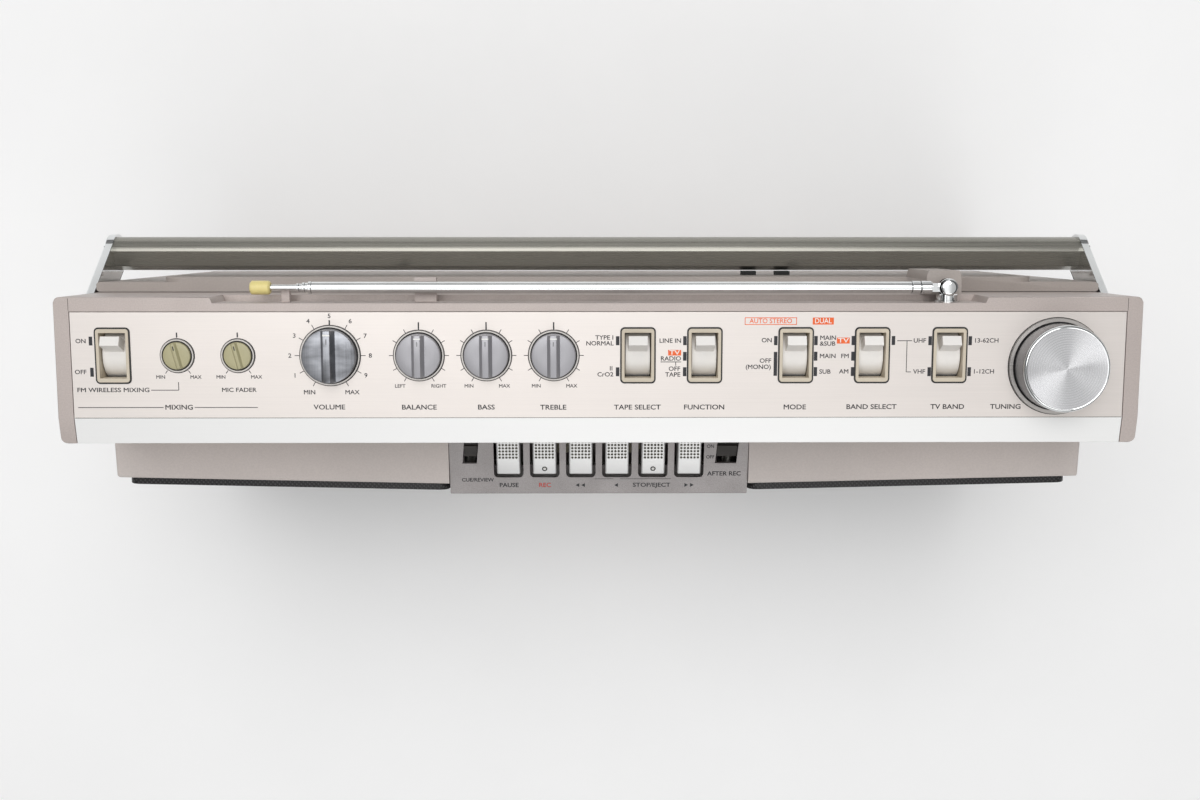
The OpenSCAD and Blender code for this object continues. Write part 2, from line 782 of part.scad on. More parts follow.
// Two guides under the panel that hold a slide switch by its flange
module switch_guides(w) {
    flange_x = w / 2 + switch_rail / 2;
    flange_low = -panel_t - switch_slide - switch_flange;
    back = -switch_back + switch_rail;
    front = -switch_back - switch_l - switch_travel - switch_rail;
    for (side = [-1, 1]) {
        mirror([side < 0 ? 1 : 0, 0, 0]) {
            block(flange_x + fit, flange_x + fit + guide_t, front, back,
                flange_low - fit - guide_t, -panel_t / 2);
            block(flange_x - over, flange_x + fit + guide_t, front, back,
                flange_low - fit - guide_t, flange_low - fit);
        }
    }
}

module switch_slot(w) {
    block(-w / 2 - fit, w / 2 + fit, -switch_back - switch_l - switch_travel - fit, -switch_back + fit,
        -panel_t - over, over);
}

module key_panel() color(deck_grey) difference() {
    union() {
        along_x([
            [-panel_back, panel_high],
            [-deck_front, panel_z(deck_front)],
            [-deck_front, deck_high + fit],
            [-deck_front + apron_t, deck_high + fit],
            [-deck_front + apron_t, panel_z(deck_front - apron_t) - panel_t],
            [-panel_back, panel_high - panel_t]
        ], -deck_w / 2, deck_w / 2);
        for (x = [-deck_w / 2, deck_w / 2 - apron_t]) {
            along_x([
                [-deck_front, deck_high + fit],
                [-deck_front, panel_z(deck_front) - panel_t / 2],
                [-frame_back, panel_z(frame_back) - panel_t / 2],
                [-frame_back, deck_high + fit]
            ], x, x + apron_t);
        }
        on_panel(-switch_x) switch_guides(review_w);
        on_panel(switch_x) switch_guides(dubbing_w);
    }
    for (i = [0 : key_count - 1]) key_slot(key_x(i));
    on_panel(-switch_x) switch_slot(review_w);
    on_panel(switch_x) switch_slot(dubbing_w);
}

module deck_frame() color(deck_grey) difference() {
    block(-deck_w / 2, deck_w / 2, -deck_front, -frame_back, deck_low, deck_high);
    block(-door_w / 2 - fit, door_w / 2 + fit, -deck_front - over, -frame_back + over, door_low, door_high);
    rod_x(door_pin_r + run, -door_w / 2 - fit - door_pin_l, door_w / 2 + fit + door_pin_l,
        -door_pivot_front, door_pivot_z);
}

// A grille is a shallow tray that stands on the cabinet's front face
module grille(side) color(black) on_front(side) {
    x = (speaker_x - deck_w / 2) / cos(front_lean);
    z = grille_low + grille_h / 2;
    difference() {
        face_plate(x, z, grille_w, grille_h, grille_r, -grille_d, 0);
        face_plate(x, z, grille_w - 2 * grille_t, grille_h - 2 * grille_t, grille_r - grille_t,
            -grille_d + grille_t, over);
    }
}

module left_grille() grille(-1);
module right_grille() grille(1);

// A pressed basket with its magnet; the inner step is the seat of the cone's rim
module woofer_frames() color("dimgray") {
    seat_y = baffle_y + speaker_flange_t;
    basket_d = 32;
    magnet_d = 19;
    magnet_r = 38;
    basket_t = 4;
    step_w = 6;
    throat_y = baffle_y + basket_d;
    back_y = throat_y + magnet_d;
    for (side = [-1, 1]) turned_y([
        [woofer_hole_r, baffle_y],
        [woofer_r, baffle_y],
        [woofer_r, seat_y],
        [woofer_r - basket_t, seat_y],
        [magnet_r, throat_y + basket_t],
        [magnet_r, back_y],
        [0, back_y],
        [0, throat_y],
        [magnet_r - basket_t, throat_y],
        [woofer_hole_r - step_w, seat_y + speaker_flange_t],
        [woofer_hole_r - step_w, seat_y],
        [woofer_hole_r, seat_y]
    ], side * speaker_x, woofer_z);
}

module woofer_cones() color("#2b2926") {
    seat_y = baffle_y + speaker_flange_t;
    rim_r = woofer_hole_r - fit;
    rim_w = 6;
    coil_r = 18;
    coil_d = 21;
    cap_d = 15;
    coil_y = seat_y + coil_d;
    cap_y = seat_y + cap_d;
    sheet = 1.2;
    for (side = [-1, 1]) turned_y([
        [rim_r - rim_w, seat_y],
        [rim_r, seat_y],
        [rim_r, seat_y - sheet],
        [rim_r - rim_w, seat_y - sheet],
        [coil_r, coil_y - sheet],
        [0, cap_y],
        [0, cap_y + sheet],
        [coil_r - sheet, coil_y + sheet],
        [rim_r - rim_w - sheet, seat_y + sheet / 2]
    ], side * speaker_x, woofer_z);
}

module tweeters() color("#3a3836") {
    dome_h = 1.5;
    flange_t = 2.5;
    can_d = 22;
    can_r = tweeter_hole_r - flange_t / 2;
    dome_r = tweeter_hole_r - dome_h;
    for (side = [-1, 1]) {
        rod_y(tweeter_r, side * speaker_x, tweeter_z, baffle_y, baffle_y + flange_t);
        rod_y(can_r, side * speaker_x, tweeter_z, baffle_y + flange_t / 2, baffle_y + can_d);
        rod_y(dome_r, side * speaker_x, tweeter_z, baffle_y - dome_h, baffle_y + flange_t / 2);
    }
}

// The chassis plate stands on four posts behind the deck frame, and carries the key shaft and the reels
module deck_chassis() color("silver") {
    plate_in = 3.5;
    plate_rise = 4;
    plate_drop = 2;
    stud_r = 4;
    stud_in = 5;
    arm_gap_x = 3;
    arm_h = 12;
    half = deck_w / 2 - plate_in;
    low = deck_low + plate_rise;
    high = deck_high - plate_drop;
    back = -chassis_front + chassis_t;
    arm_x = key_x(key_count - 1) + key_w / 2 + arm_gap_x;
    difference() {
        union() {
            block(-half, half, -chassis_front, back, low, high);
            for (x = [-1, 1] * (half - stud_in), z = [low + stud_in, high - stud_in]) {
                rod_y(stud_r, x, z, -frame_back, back);
            }
            for (x = [-arm_x - chassis_t, arm_x]) {
                block(x, x + chassis_t, -chassis_front, -key_shaft_front + stud_r,
                    high - arm_h, key_shaft_z + stud_in);
            }
            rod_x(key_shaft_r, -arm_x - chassis_t, arm_x + chassis_t, -key_shaft_front, key_shaft_z);
        }
        for (side = [-1, 1]) {
            rod_y(reel_shaft_r + run, side * reel_pitch / 2, reel_z, -chassis_front - over, back + over);
        }
        rod_y(capstan_r + run, capstan_x, capstan_z, -chassis_front - over, back + over);
    }
}

// The board under the fascia, with a potentiometer under each knob
module control_board() color("#7a5b2e") difference() {
    union() {
        block(-board_w / 2, board_w / 2, -board_front, board_rear, board_z, board_z + board_t);
        for (p = knob_at) rod_z(pot_r, p.x, p.y, board_z + board_t / 2, pot_top);
    }
    for (p = knob_at) rod_z(shaft_r + run, p.x, p.y, shaft_low - fit, pot_top + over);
}

module power_transformer() color("#57534d") {
    y0 = cabinet_rear - wall - transformer_d - transformer_gap;
    x0 = transformer_x - transformer_w / 2;
    x1 = transformer_x + transformer_w / 2;
    coil = 5;
    block(x0, x1, y0 + coil, y0 + transformer_d - coil, inner_floor, inner_floor + transformer_h);
    block(x0 + 2 * coil, x1 - 2 * coil, y0, y0 + transformer_d,
        inner_floor + coil, inner_floor + transformer_h - coil);
}

module drive_motor() color("gray") {
    y0 = -chassis_front + chassis_t;
    motor_l = 28;
    pulley_l = 8;
    rod_y(motor_r, motor_x, motor_z, y0, y0 + motor_l);
    rod_y(motor_r / 4, motor_x, motor_z, y0 + motor_l / 2, y0 + motor_l + pulley_l);
}

// Four feet below, and two pads on the back for the folded grip
module rubber_feet() color("#161616") {
    foot_in = 16;
    for (x = [-foot_x, foot_x], y = [-cabinet_front + foot_in, cabinet_rear - foot_in]) {
        rod_z(foot_r, x, y, 0, floor_z);
    }
    pad_h = 8;
    pad_w = 8;
    for (x = buffer_at) {
        block(x - pad_w / 2, x + pad_w / 2, cabinet_rear + hump_d, grip_y - grip_r - fit / 2,
            grip_z - pad_h / 2, grip_z + pad_h / 2);
    }
}

module cabinet_screws() color("silver") for (p = post_at) {
    head_y = cabinet_rear - screw_head_t;
    rod_y(screw_r, p.x, p.y, -screw_tip, head_y + screw_head_t / 2);
    rod_y(screw_head_r, p.x, p.y, head_y, cabinet_rear);
}

module aerial_bush() color(chrome) difference() {
    union() {
        rod_y(bush_flange_r, aerial_x, aerial_z, notch_y, notch_y + bush_flange_t);
        rod_y(bush_r, aerial_x, aerial_z, fascia_rear, notch_y + bush_flange_t / 2);
    }
    rod_y(swivel_pin_r + run, aerial_x, aerial_z, fascia_rear - over, notch_y + bush_flange_t + over);
}

// The socket panel lies behind the rear wall's opening, with jack sockets and a mains inlet
module socket_panel() color(black) {
    face_y = cabinet_rear - wall;
    first_x = socket_x - socket_w / 2 + jack_in;
    difference() {
        union() {
            block(socket_x - socket_w / 2, socket_x + socket_w / 2, face_y - socket_t, face_y,
                socket_z - socket_h / 2, socket_z + socket_h / 2);
            for (i = [0 : jack_count - 1]) {
                rod_y(jack_boss_r, first_x + i * jack_pitch, socket_z,
                    face_y - jack_d - pocket_wall, face_y + jack_proud);
            }
            block(inlet_x - inlet_w / 2 - pocket_wall, inlet_x + inlet_w / 2 + pocket_wall,
                face_y - inlet_d - pocket_wall, face_y,
                socket_z - inlet_h / 2 - pocket_wall, socket_z + inlet_h / 2 + pocket_wall);
        }
        for (i = [0 : jack_count - 1]) {
            rod_y(jack_r, first_x + i * jack_pitch, socket_z,
                face_y + jack_proud - jack_d, face_y + jack_proud + over);
        }
        block(inlet_x - inlet_w / 2, inlet_x + inlet_w / 2, face_y - inlet_d, face_y + over,
            socket_z - inlet_h / 2, socket_z + inlet_h / 2);
    }
    for (side = [-1, 1]) {
        rod_y(inlet_pin_r, inlet_x + side * inlet_w / 4, socket_z,
            face_y - inlet_d - pocket_wall / 2, face_y - inlet_d + inlet_pin_l);
    }
}

module battery_door() color(taupe) {
    half = bay_w / 2 - fit;
    block(-half, half, cabinet_rear - wall, cabinet_rear, bay_door_pivot_z, bay_low + bay_h - fit);
    rod_x(wall / 2, -half, half, bay_door_pivot_y, bay_door_pivot_z);
    rod_x(bay_door_pin_r, -half - bay_door_pin_l, half + bay_door_pin_l, bay_door_pivot_y, bay_door_pivot_z);
}

module handle_grip() color("#6d6863") difference() {
    rod_x(grip_r, -arm_in, arm_in, grip_y, grip_z);
    flat = grip_r * 0.87;
    for (turn = [20, 75]) {
        translate([0, grip_y, grip_z]) rotate([turn, 0, 0])
            block(-arm_in - over, arm_in + over, -grip_r, grip_r, flat, grip_r + over);
    }
}

// An arm is a flat link with round ends, bored for its pivot screw
module handle_arm(x0, x1, head_x0, head_x1) difference() {
    union() {
        rod_x(arm_half, x0, x1, pivot_y, pivot_z);
        rod_x(arm_half, x0, x1, grip_y, grip_z);
        translate([0, pivot_y, pivot_z]) rotate([-handle_fold, 0, 0])
            block(x0, x1, 0, handle_l, -arm_half + arm_waist, arm_half - arm_waist);
    }
    rod_x(pivot_r + run, x0 - over, x1 + over, pivot_y, pivot_z);
    rod_x(pivot_head_r + fit, head_x0, head_x1, pivot_y, pivot_z);
}

module handle_arms() color(chrome) {
    seat = arm_out - pivot_head_t - fit;
    handle_arm(arm_in, arm_out, seat, arm_out + over);
    handle_arm(-arm_out, -arm_in, -arm_out - over, -seat);
}

module handle_screws() color("silver") for (side = [0, 1]) mirror([side, 0, 0]) {
    rod_x(pivot_r, housing_w / 2 - wall - pivot_r, arm_out - pivot_head_t / 2, pivot_y, pivot_z);
    rod_x(pivot_head_r, arm_out - pivot_head_t, arm_out, pivot_y, pivot_z);
}

// The swivel turns in the bush; its two ears hold the elbow pin
module aerial_swivel() color(chrome) {
    cup_y = notch_y + bush_flange_t + run;
    ear_in = elbow_tongue / 2 + run;
    bridge_y = aerial_y - elbow_tongue_r - fit;
    rod_y(swivel_pin_r, aerial_x, aerial_z, fascia_rear, cup_y + over);
    rod_y(swivel_cup_r, aerial_x, aerial_z, cup_y, aerial_y - elbow_r + over);
    for (side = [-1, 1]) {
        z = aerial_z + side * (ear_in + elbow_ear_t / 2);
        rod_z(elbow_r, aerial_x, aerial_y, z - elbow_ear_t / 2, z + elbow_ear_t / 2);
    }
    intersection() {
        block(aerial_x - elbow_r, aerial_x + elbow_r, cup_y, bridge_y,
            aerial_z - ear_in - elbow_ear_t, aerial_z + ear_in + elbow_ear_t);
        rod_y(swivel_cup_r, aerial_x, aerial_z, cup_y, aerial_y);
    }
    rod_z(elbow_pin_r, aerial_x, aerial_y, aerial_z - ear_in - over, aerial_z + ear_in + over);
}

// The main tube starts at a flat tongue on the elbow pin
module aerial_tube() color(chrome) {
    start = aerial_x - elbow_neck;
    difference() {
        union() {
            rod_x(tube_r, start - tube_l, start, aerial_y, aerial_z);
            rod_z(elbow_tongue_r, aerial_x, aerial_y,
                aerial_z - elbow_tongue / 2, aerial_z + elbow_tongue / 2);
            block(start - over, aerial_x, aerial_y - elbow_tongue, aerial_y + elbow_tongue,
                aerial_z - elbow_tongue / 2, aerial_z + elbow_tongue / 2);
        }
        rod_x(tube_r - tube_wall, start - tube_l - over, start - tube_plug, aerial_y, aerial_z);
        rod_z(elbow_pin_r + run, aerial_x, aerial_y, aerial_z - elbow_tongue, aerial_z + elbow_tongue);
    }
}

// Radius, outer end and inner end of each nested section, counted from the main tube
function section_r(i) = tube_r - i * (tube_wall + run);
function section_out(i) = aerial_x - elbow_neck - tube_l - i * section_step;
function section_in(i) = aerial_x - elbow_neck - tube_plug - fit - i * section_stop;

module aerial_section(i) color(chrome) difference() {
    rod_x(section_r(i), section_out(i), section_in(i), aerial_y, aerial_z);
    rod_x(section_r(i) - tube_wall, section_out(i) - over, section_in(i) - section_plug, aerial_y, aerial_z);
}

module aerial_section_2() aerial_section(1);
module aerial_section_3() aerial_section(2);

rod_end = section_out(2) - rod_step;

module aerial_rod() color(chrome) rod_x(section_r(3), rod_end, section_in(3), aerial_y, aerial_z);

module aerial_tip() color("#f1e3a8") {
    chamfer = 0.8;
    translate([rod_end, aerial_y, aerial_z]) rotate([0, -90, 0]) rotate_extrude() polygon([
        [0, 0],
        [tip_r - chamfer, 0],
        [tip_r, chamfer],
        [tip_r, tip_l - chamfer],
        [tip_r - chamfer, tip_l],
        [0, tip_l]
    ]);
}

// A lever: a drum on two pins, and a tapered tab that leans to the rear at rest
module switch_lever(x) color(ivory) {
    tab_w = 9.4;
    root_half = 3;
    tip_half = 2.4;
    root_in = 2;
    pin_end = cheek_x + cheek_t - fit;
    translate([x, row_y, drum_z]) {
        rod_x(drum_r, -drum_w / 2, drum_w / 2, 0, 0);
        rod_x(drum_pin_r, -pin_end, pin_end, 0, 0);
        rotate([-tab_lean, 0, 0]) along_x([
            [-root_half, drum_r - root_in],
            [-tip_half, tab_l],
            [tip_half, tab_l],
            [root_half, drum_r - root_in]
        ], -tab_w / 2, tab_w / 2);
    }
}

module mixing_lever() switch_lever(mixing_lever_x);
module tape_lever() switch_lever(tape_x);
module function_lever() switch_lever(function_x);
module mode_lever() switch_lever(mode_x);
module band_lever() switch_lever(band_x);
module tv_lever() switch_lever(tv_x);

// A turned knob on its shaft
module knob(at, r, h, edge) {
    low = top_z + knob_float;
    translate([at.x, at.y, low]) rotate_extrude() polygon([
        [0, 0],
        [r, 0],
        [r, h - knob_float - edge],
        [r - edge, h - knob_float],
        [0, h - knob_float]
    ]);
    rod_z(shaft_r, at.x, at.y, shaft_low, low + over);
}

// A knob with a bar across its face, which points to the rear at rest
module bar_knob(at, r, h, skirt, bar_w) {
    knob(at, r, skirt, skirt / 6);
    intersection() {
        rod_z(r - ring_gap, at.x, at.y, top_z + skirt / 2, top_z + h);
        block(at.x - bar_w / 2, at.x + bar_w / 2, at.y - r, at.y + r, top_z + skirt / 2, top_z + h);
    }
}

bar_share = 0.55;
small_bar_w = 4;
volume_bar_w = 7;
tone_bar_w = 6;
tuning_edge = 1;
module mixing_knob() color(beige) bar_knob(small_at[0], small_r, small_h, small_h * bar_share, small_bar_w);
module fader_knob() color(beige) bar_knob(small_at[1], small_r, small_h, small_h * bar_share, small_bar_w);
module volume_knob() color(knob_grey) {
    bar_knob(volume_at, volume_r, volume_h, volume_h * bar_share, volume_bar_w);
}
module balance_knob() color(knob_grey) bar_knob(tone_at[0], tone_r, tone_h, tone_h * bar_share, tone_bar_w);
module bass_knob() color(knob_grey) bar_knob(tone_at[1], tone_r, tone_h, tone_h * bar_share, tone_bar_w);
module treble_knob() color(knob_grey) bar_knob(tone_at[2], tone_r, tone_h, tone_h * bar_share, tone_bar_w);
module tuning_knob() color(aluminium) knob(tuning_at, tuning_r, tuning_h, tuning_edge);

// A piano key: a cap in the panel's slot, on an arm that turns on the key shaft behind it
module piano_key(i) color(silver) {
    back = panel_back + fit;
    flat_front = back + key_flat_l;
    barrel_r = key_shaft_r + run + key_bore_wall;
    difference() {
        union() {
            along_x([
                [-back, panel_z(back) + key_rise],
                [-flat_front, panel_z(flat_front) + key_rise],
                [-key_front, panel_z(key_front) + key_nose_rise],
                [-key_front, panel_z(key_front) - key_nose_h],
                [-key_front + key_nose_d, panel_z(key_front) - key_nose_h - key_bore_wall / 2],
                [-key_shaft_front, key_shaft_z - key_shaft_r - key_bore_wall / 2],
                [-key_shaft_front, key_shaft_z + key_shaft_r + key_bore_wall / 2],
                [-back, cabinet_top - key_heel_drop]
            ], key_x(i) - key_w / 2, key_x(i) + key_w / 2);
            rod_x(barrel_r, key_x(i) - key_w / 2, key_x(i) + key_w / 2, -key_shaft_front, key_shaft_z);
        }
        rod_x(key_shaft_r + run, key_x(i) - key_w, key_x(i) + key_w, -key_shaft_front, key_shaft_z);
    }
}

module pause_key() piano_key(0);
module record_key() piano_key(1);
module rewind_key() piano_key(2);
module play_key() piano_key(3);
module stop_key() piano_key(4);
module forward_key() piano_key(5);

module slide_switch(x, w) color(black) on_panel(x) {
    flange_x = w / 2 + switch_rail / 2;
    flange_high = -panel_t - switch_slide;
    front = -switch_back - switch_l;
    nib_in = 2.5;
    block(-w / 2, w / 2, front, -switch_back, flange_high - switch_flange / 2, -panel_t / 2);
    block(-w / 2, w / 2, front + nib_in, -switch_back - nib_in, -panel_t, panel_t / 3);
    block(-flange_x, flange_x, front - switch_rail, -switch_back + switch_rail,
        flange_high - switch_flange, flange_high);
}

module review_switch() slide_switch(-switch_x, review_w);
module dubbing_switch() slide_switch(switch_x, dubbing_w);

door_view_w = 90;
door_view_rise = 16;
door_view_h = 40;
door_view_low = shelf_z + door_view_rise;
door_view_high = door_view_low + door_view_h;
door_view_lap = 2.5;

// The door carries the cassette on a shelf between two side rails
module cassette_door() color(deck_grey) difference() {
    in_y = -deck_front + door_t;
    rail_short = 8;
    union() {
        block(-door_w / 2, door_w / 2, -deck_front, in_y, door_pivot_z, door_high - fit);
        rod_x(door_pivot_r, -door_w / 2, door_w / 2, -door_pivot_front, door_pivot_z);
        rod_x(door_pin_r, -door_w / 2 - door_pin_l, door_w / 2 + door_pin_l, -door_pivot_front, door_pivot_z);
        for (x = [-rail_x - rail_t, rail_x]) {
            block(x, x + rail_t, in_y - over, in_y + rail_d, shelf_z, shelf_z + cassette_h - rail_short);
        }
        block(-rail_x - over, rail_x + over, in_y - over, in_y + rail_d, shelf_z, shelf_z + rail_t);
    }
    block(-door_view_w / 2, door_view_w / 2, -deck_front - over, in_y + over, door_view_low, door_view_high);
}

module door_window() color("lightcyan", 0.4) {
    in_y = -deck_front + door_t;
    half = door_view_w / 2 + door_view_lap;
    block(-half, half, in_y, in_y + dial_t, door_view_low - door_view_lap, door_view_high + door_view_lap);
}

// A reel: a disc and spindle before the chassis, a shaft through it and a collar behind
module tape_reel(x) color("ivory") {
    disc_y = -chassis_front - fit;
    back = -chassis_front + chassis_t + fit;
    spline = 1.2;
    disc_t = 2;
    point_l = 1.5;
    rod_y(reel_disc_r, x, reel_z, disc_y - disc_t, disc_y);
    rod_y(spindle_r, x, reel_z, -spindle_front, disc_y - over);
    for (turn = [0, 120, 240]) {
        translate([x, 0, reel_z]) rotate([0, turn, 0])
            block(-spline / 2, spline / 2, -spindle_front + point_l, disc_y - over, 0, spindle_r + spline);
    }
    rod_y(reel_shaft_r, x, reel_z, disc_y - over, back + over);
    rod_y(reel_shaft_r + collar_lap, x, reel_z, back, back + disc_t);
}

module supply_reel() tape_reel(-reel_pitch / 2);
module takeup_reel() tape_reel(reel_pitch / 2);

module capstan_flywheel() color("darkgray") {
    back = -chassis_front + chassis_t + fit;
    rod_y(capstan_r, capstan_x, capstan_z, -spindle_front + over, back + over);
    collar_t = 1.2;
    flywheel_t = 5;
    rod_y(capstan_r + collar_lap, capstan_x, capstan_z,
        -chassis_front - fit - collar_t, -chassis_front - fit);
    rod_y(flywheel_r, capstan_x, capstan_z, back, back + flywheel_t);
}

front_cabinet();
rear_cabinet();
upper_housing();
control_fascia();
switch_bezels();
knob_rings();
dial_scale();
dial_window();
dial_pointer();
key_panel();
deck_frame();
left_grille();
right_grille();
woofer_frames();
woofer_cones();
tweeters();
deck_chassis();
control_board();
power_transformer();
drive_motor();
rubber_feet();
cabinet_screws();
aerial_bush();
socket_panel();
battery_door();
handle_grip();
handle_arms();
handle_screws();
aerial_swivel();
aerial_tube();
aerial_section_2();
aerial_section_3();
aerial_rod();
aerial_tip();
mixing_lever();
tape_lever();
function_lever();
mode_lever();
band_lever();
tv_lever();
mixing_knob();
fader_knob();
volume_knob();
balance_knob();
bass_knob();
treble_knob();
tuning_knob();
pause_key();
record_key();
rewind_key();
play_key();
stop_key();
forward_key();
review_switch();
dubbing_switch();
cassette_door();
door_window();
supply_reel();
takeup_reel();
capstan_flywheel();
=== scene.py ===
"""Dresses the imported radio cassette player: shells, brushed fascia, printed scales, chrome and grilles."""

import json
import math

import bmesh
import bpy
from mathutils import Matrix, Vector

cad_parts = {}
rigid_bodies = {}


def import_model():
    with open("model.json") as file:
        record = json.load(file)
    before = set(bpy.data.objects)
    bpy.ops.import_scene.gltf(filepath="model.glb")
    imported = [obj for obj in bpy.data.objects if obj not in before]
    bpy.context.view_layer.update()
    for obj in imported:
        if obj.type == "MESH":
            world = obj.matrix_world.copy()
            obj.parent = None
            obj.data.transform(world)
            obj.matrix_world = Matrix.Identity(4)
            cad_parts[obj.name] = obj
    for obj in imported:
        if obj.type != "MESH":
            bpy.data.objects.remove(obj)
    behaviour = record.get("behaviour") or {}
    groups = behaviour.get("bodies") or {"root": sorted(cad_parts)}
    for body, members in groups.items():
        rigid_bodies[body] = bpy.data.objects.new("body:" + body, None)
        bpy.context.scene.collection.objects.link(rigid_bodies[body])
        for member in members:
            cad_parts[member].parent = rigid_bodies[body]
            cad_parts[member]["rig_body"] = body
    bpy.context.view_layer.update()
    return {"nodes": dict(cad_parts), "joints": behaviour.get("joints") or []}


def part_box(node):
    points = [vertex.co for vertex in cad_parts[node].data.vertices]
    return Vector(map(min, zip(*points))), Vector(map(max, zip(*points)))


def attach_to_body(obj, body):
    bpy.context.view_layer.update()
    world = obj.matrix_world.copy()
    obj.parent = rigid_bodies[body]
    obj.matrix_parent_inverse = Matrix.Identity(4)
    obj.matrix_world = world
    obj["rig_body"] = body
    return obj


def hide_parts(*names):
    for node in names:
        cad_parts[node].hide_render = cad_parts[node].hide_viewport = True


bl_info = {
    "name": "Radio cassette player looks",
    "version": (1, 0, 0),
    "blender": (4, 5, 0),
    "location": "View3D > Sidebar > Radio",
    "description": "Dresses the packed radio cassette player piece by piece",
    "category": "Object",
}

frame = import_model()
NODES = frame["nodes"]
MM = 0.001
# In millimetres: how near two places count as one, from where an edge is long, and how high and thick print is
NEAR, LONG, PRINT_LIFT, PRINT_THICK = 0.05, 8, 0.012, 0.024
MERGE = 0.002 * MM
# In radians: from where an edge is a fold, up to where facets are joined, and up to where faces shade as one
FOLD, FACET, SMOOTH = 0.5, math.radians(0.6), math.radians(34)
# Type size for one unit of letter height, and half the thickness of a letter
TYPE_SIZE, LETTER_HALF = 1.42, 0.006 * MM


def srgb(red, green, blue):
    """A screen colour, 0 to 255, as the linear values that a shader takes."""
    shares = (red / 255, green / 255, blue / 255)
    return tuple(((v + 0.055) / 1.055) ** 2.4 if v > 0.04045 else v / 12.92 for v in shares)


def colour(label, text, value):
    return bpy.props.FloatVectorProperty(
        name=label, description=text, default=value, size=3, min=0, max=1, subtype="COLOR"
    )


def length(label, text, value):
    return bpy.props.FloatProperty(name=label, description=text, default=value, min=0, unit="LENGTH")


class RadioSizes(bpy.types.PropertyGroup):
    shell_edge: length("Shell edge", "Rounding of the cabinet's long edges", 1.6 * MM)
    trim_edge: length("Trim edge", "Rounding of small mouldings", 0.35 * MM)
    key_edge: length("Key edge", "Rounding along the piano keys", 0.8 * MM)
    dimple_pitch: length("Dimple pitch", "Distance between the dimples on a key", 1.86 * MM)
    hole_pitch: length("Hole pitch", "Distance between the holes of a grille", 3.6 * MM)
    label_height: length("Label height", "Height of the control names", 2.4 * MM)
    mark_height: length("Mark height", "Height of the numbers and switch marks", 2.5 * MM)
    line_width: length("Line width", "Width of the printed lines", 0.36 * MM)


class RadioColours(bpy.types.PropertyGroup):
    shell: colour("Shell", "Front shell of the cabinet", srgb(211, 202, 197))
    # Painted shade: the rear shell is the same plastic as the front shell, coloured darker for the shade
    # behind the control housing.
    rear: colour("Rear", "Rear shell of the cabinet", srgb(174, 165, 159))
    housing: colour("Housing", "Control housing", srgb(191, 180, 175))
    fascia: colour("Fascia", "Brushed control fascia", srgb(229, 222, 217))
    ivory: colour("Ivory", "Levers", srgb(234, 231, 227))
    knob: colour("Knob", "Turned knobs", srgb(172, 171, 175))
    beige: colour("Beige", "Small knobs", srgb(178, 172, 136))
    chrome: colour("Chrome", "Aerial and handle arms", srgb(236, 238, 238))
    key: colour("Key", "Piano keys", srgb(232, 232, 231))
    deck: colour("Deck", "Key panel and deck frame", srgb(166, 161, 160))
    grip: colour("Grip", "Handle grip", srgb(154, 152, 144))
    black: colour("Black", "Grilles, gaskets and sockets", srgb(26, 25, 26))
    cream: colour("Cream", "Aerial tip", srgb(240, 224, 150))
    ink: colour("Ink", "Print on the fascia", srgb(34, 34, 38))
    orange: colour("Orange", "Orange print and dial pointer", srgb(226, 92, 38))


def sizes():
    return bpy.context.scene.radio_sizes


def colours():
    return bpy.context.scene.radio_colours


# Selecting and shaping

def alone(obj):
    """Makes obj the only selected object."""
    bpy.ops.object.select_all(action="DESELECT")
    obj.select_set(True)
    bpy.context.view_layer.objects.active = obj
    return obj


def shaping(obj, kind="FACE"):
    """Enters edit mode on obj with nothing selected."""
    alone(obj)
    bpy.ops.object.mode_set(mode="EDIT")
    bpy.ops.mesh.select_mode(type=kind)
    bpy.ops.mesh.select_all(action="DESELECT")
    return bmesh.from_edit_mesh(obj.data)


def done(obj):
    bpy.ops.object.mode_set(mode="OBJECT")
    return obj


def pick_all():
    bpy.ops.mesh.select_all(action="SELECT")


def outward(obj):
    """Turns all normals out and leaves edit mode."""
    pick_all()
    bpy.ops.mesh.normals_make_consistent(inside=False)
    return done(obj)


def apply_place():
    bpy.ops.object.transform_apply(location=True, rotation=True, scale=True)


def added(name=""):
    """The object that was just added, with its place applied to its mesh."""
    obj = bpy.context.active_object
    if name:
        obj.name = name
    apply_place()
    return obj


def at(x, y, z):
    """A move, in millimetres."""
    return Matrix.Translation(Vector((x, y, z)) * MM)


def about(axis, degrees):
    return Matrix.Rotation(math.radians(degrees), 4, axis)


def moved(obj, matrix):
    """Moves a piece and applies the move to its mesh."""
    alone(obj)
    obj.matrix_world = matrix @ obj.matrix_world
    apply_place()
    return obj


def span(node):
    """A CAD node's two corners, in millimetres."""
    return [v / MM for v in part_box(node)]


def pick_faces(obj, test):
    """Selects the faces whose middle and normal pass the test."""
    bm = bmesh.from_edit_mesh(obj.data)
    bpy.ops.mesh.select_mode(type="FACE")
    bpy.ops.mesh.select_all(action="DESELECT")
    for face in bm.faces:
        if test(face.calc_center_median(), face.normal):
            face.select_set(True)
    bmesh.update_edit_mesh(obj.data)


def pick_edges(obj, test):
    """Selects the folded edges whose ends pass the test."""
    bm = bmesh.from_edit_mesh(obj.data)
    bpy.ops.mesh.select_mode(type="EDGE")
    bpy.ops.mesh.select_all(action="DESELECT")
    found = 0
    for edge in bm.edges:
        if len(edge.link_faces) == 2 and edge.calc_face_angle(0) > FOLD:
            if test(edge.verts[0].co / MM, edge.verts[1].co / MM):
                edge.select_set(True)
                found += 1
    bmesh.update_edit_mesh(obj.data)
    return found


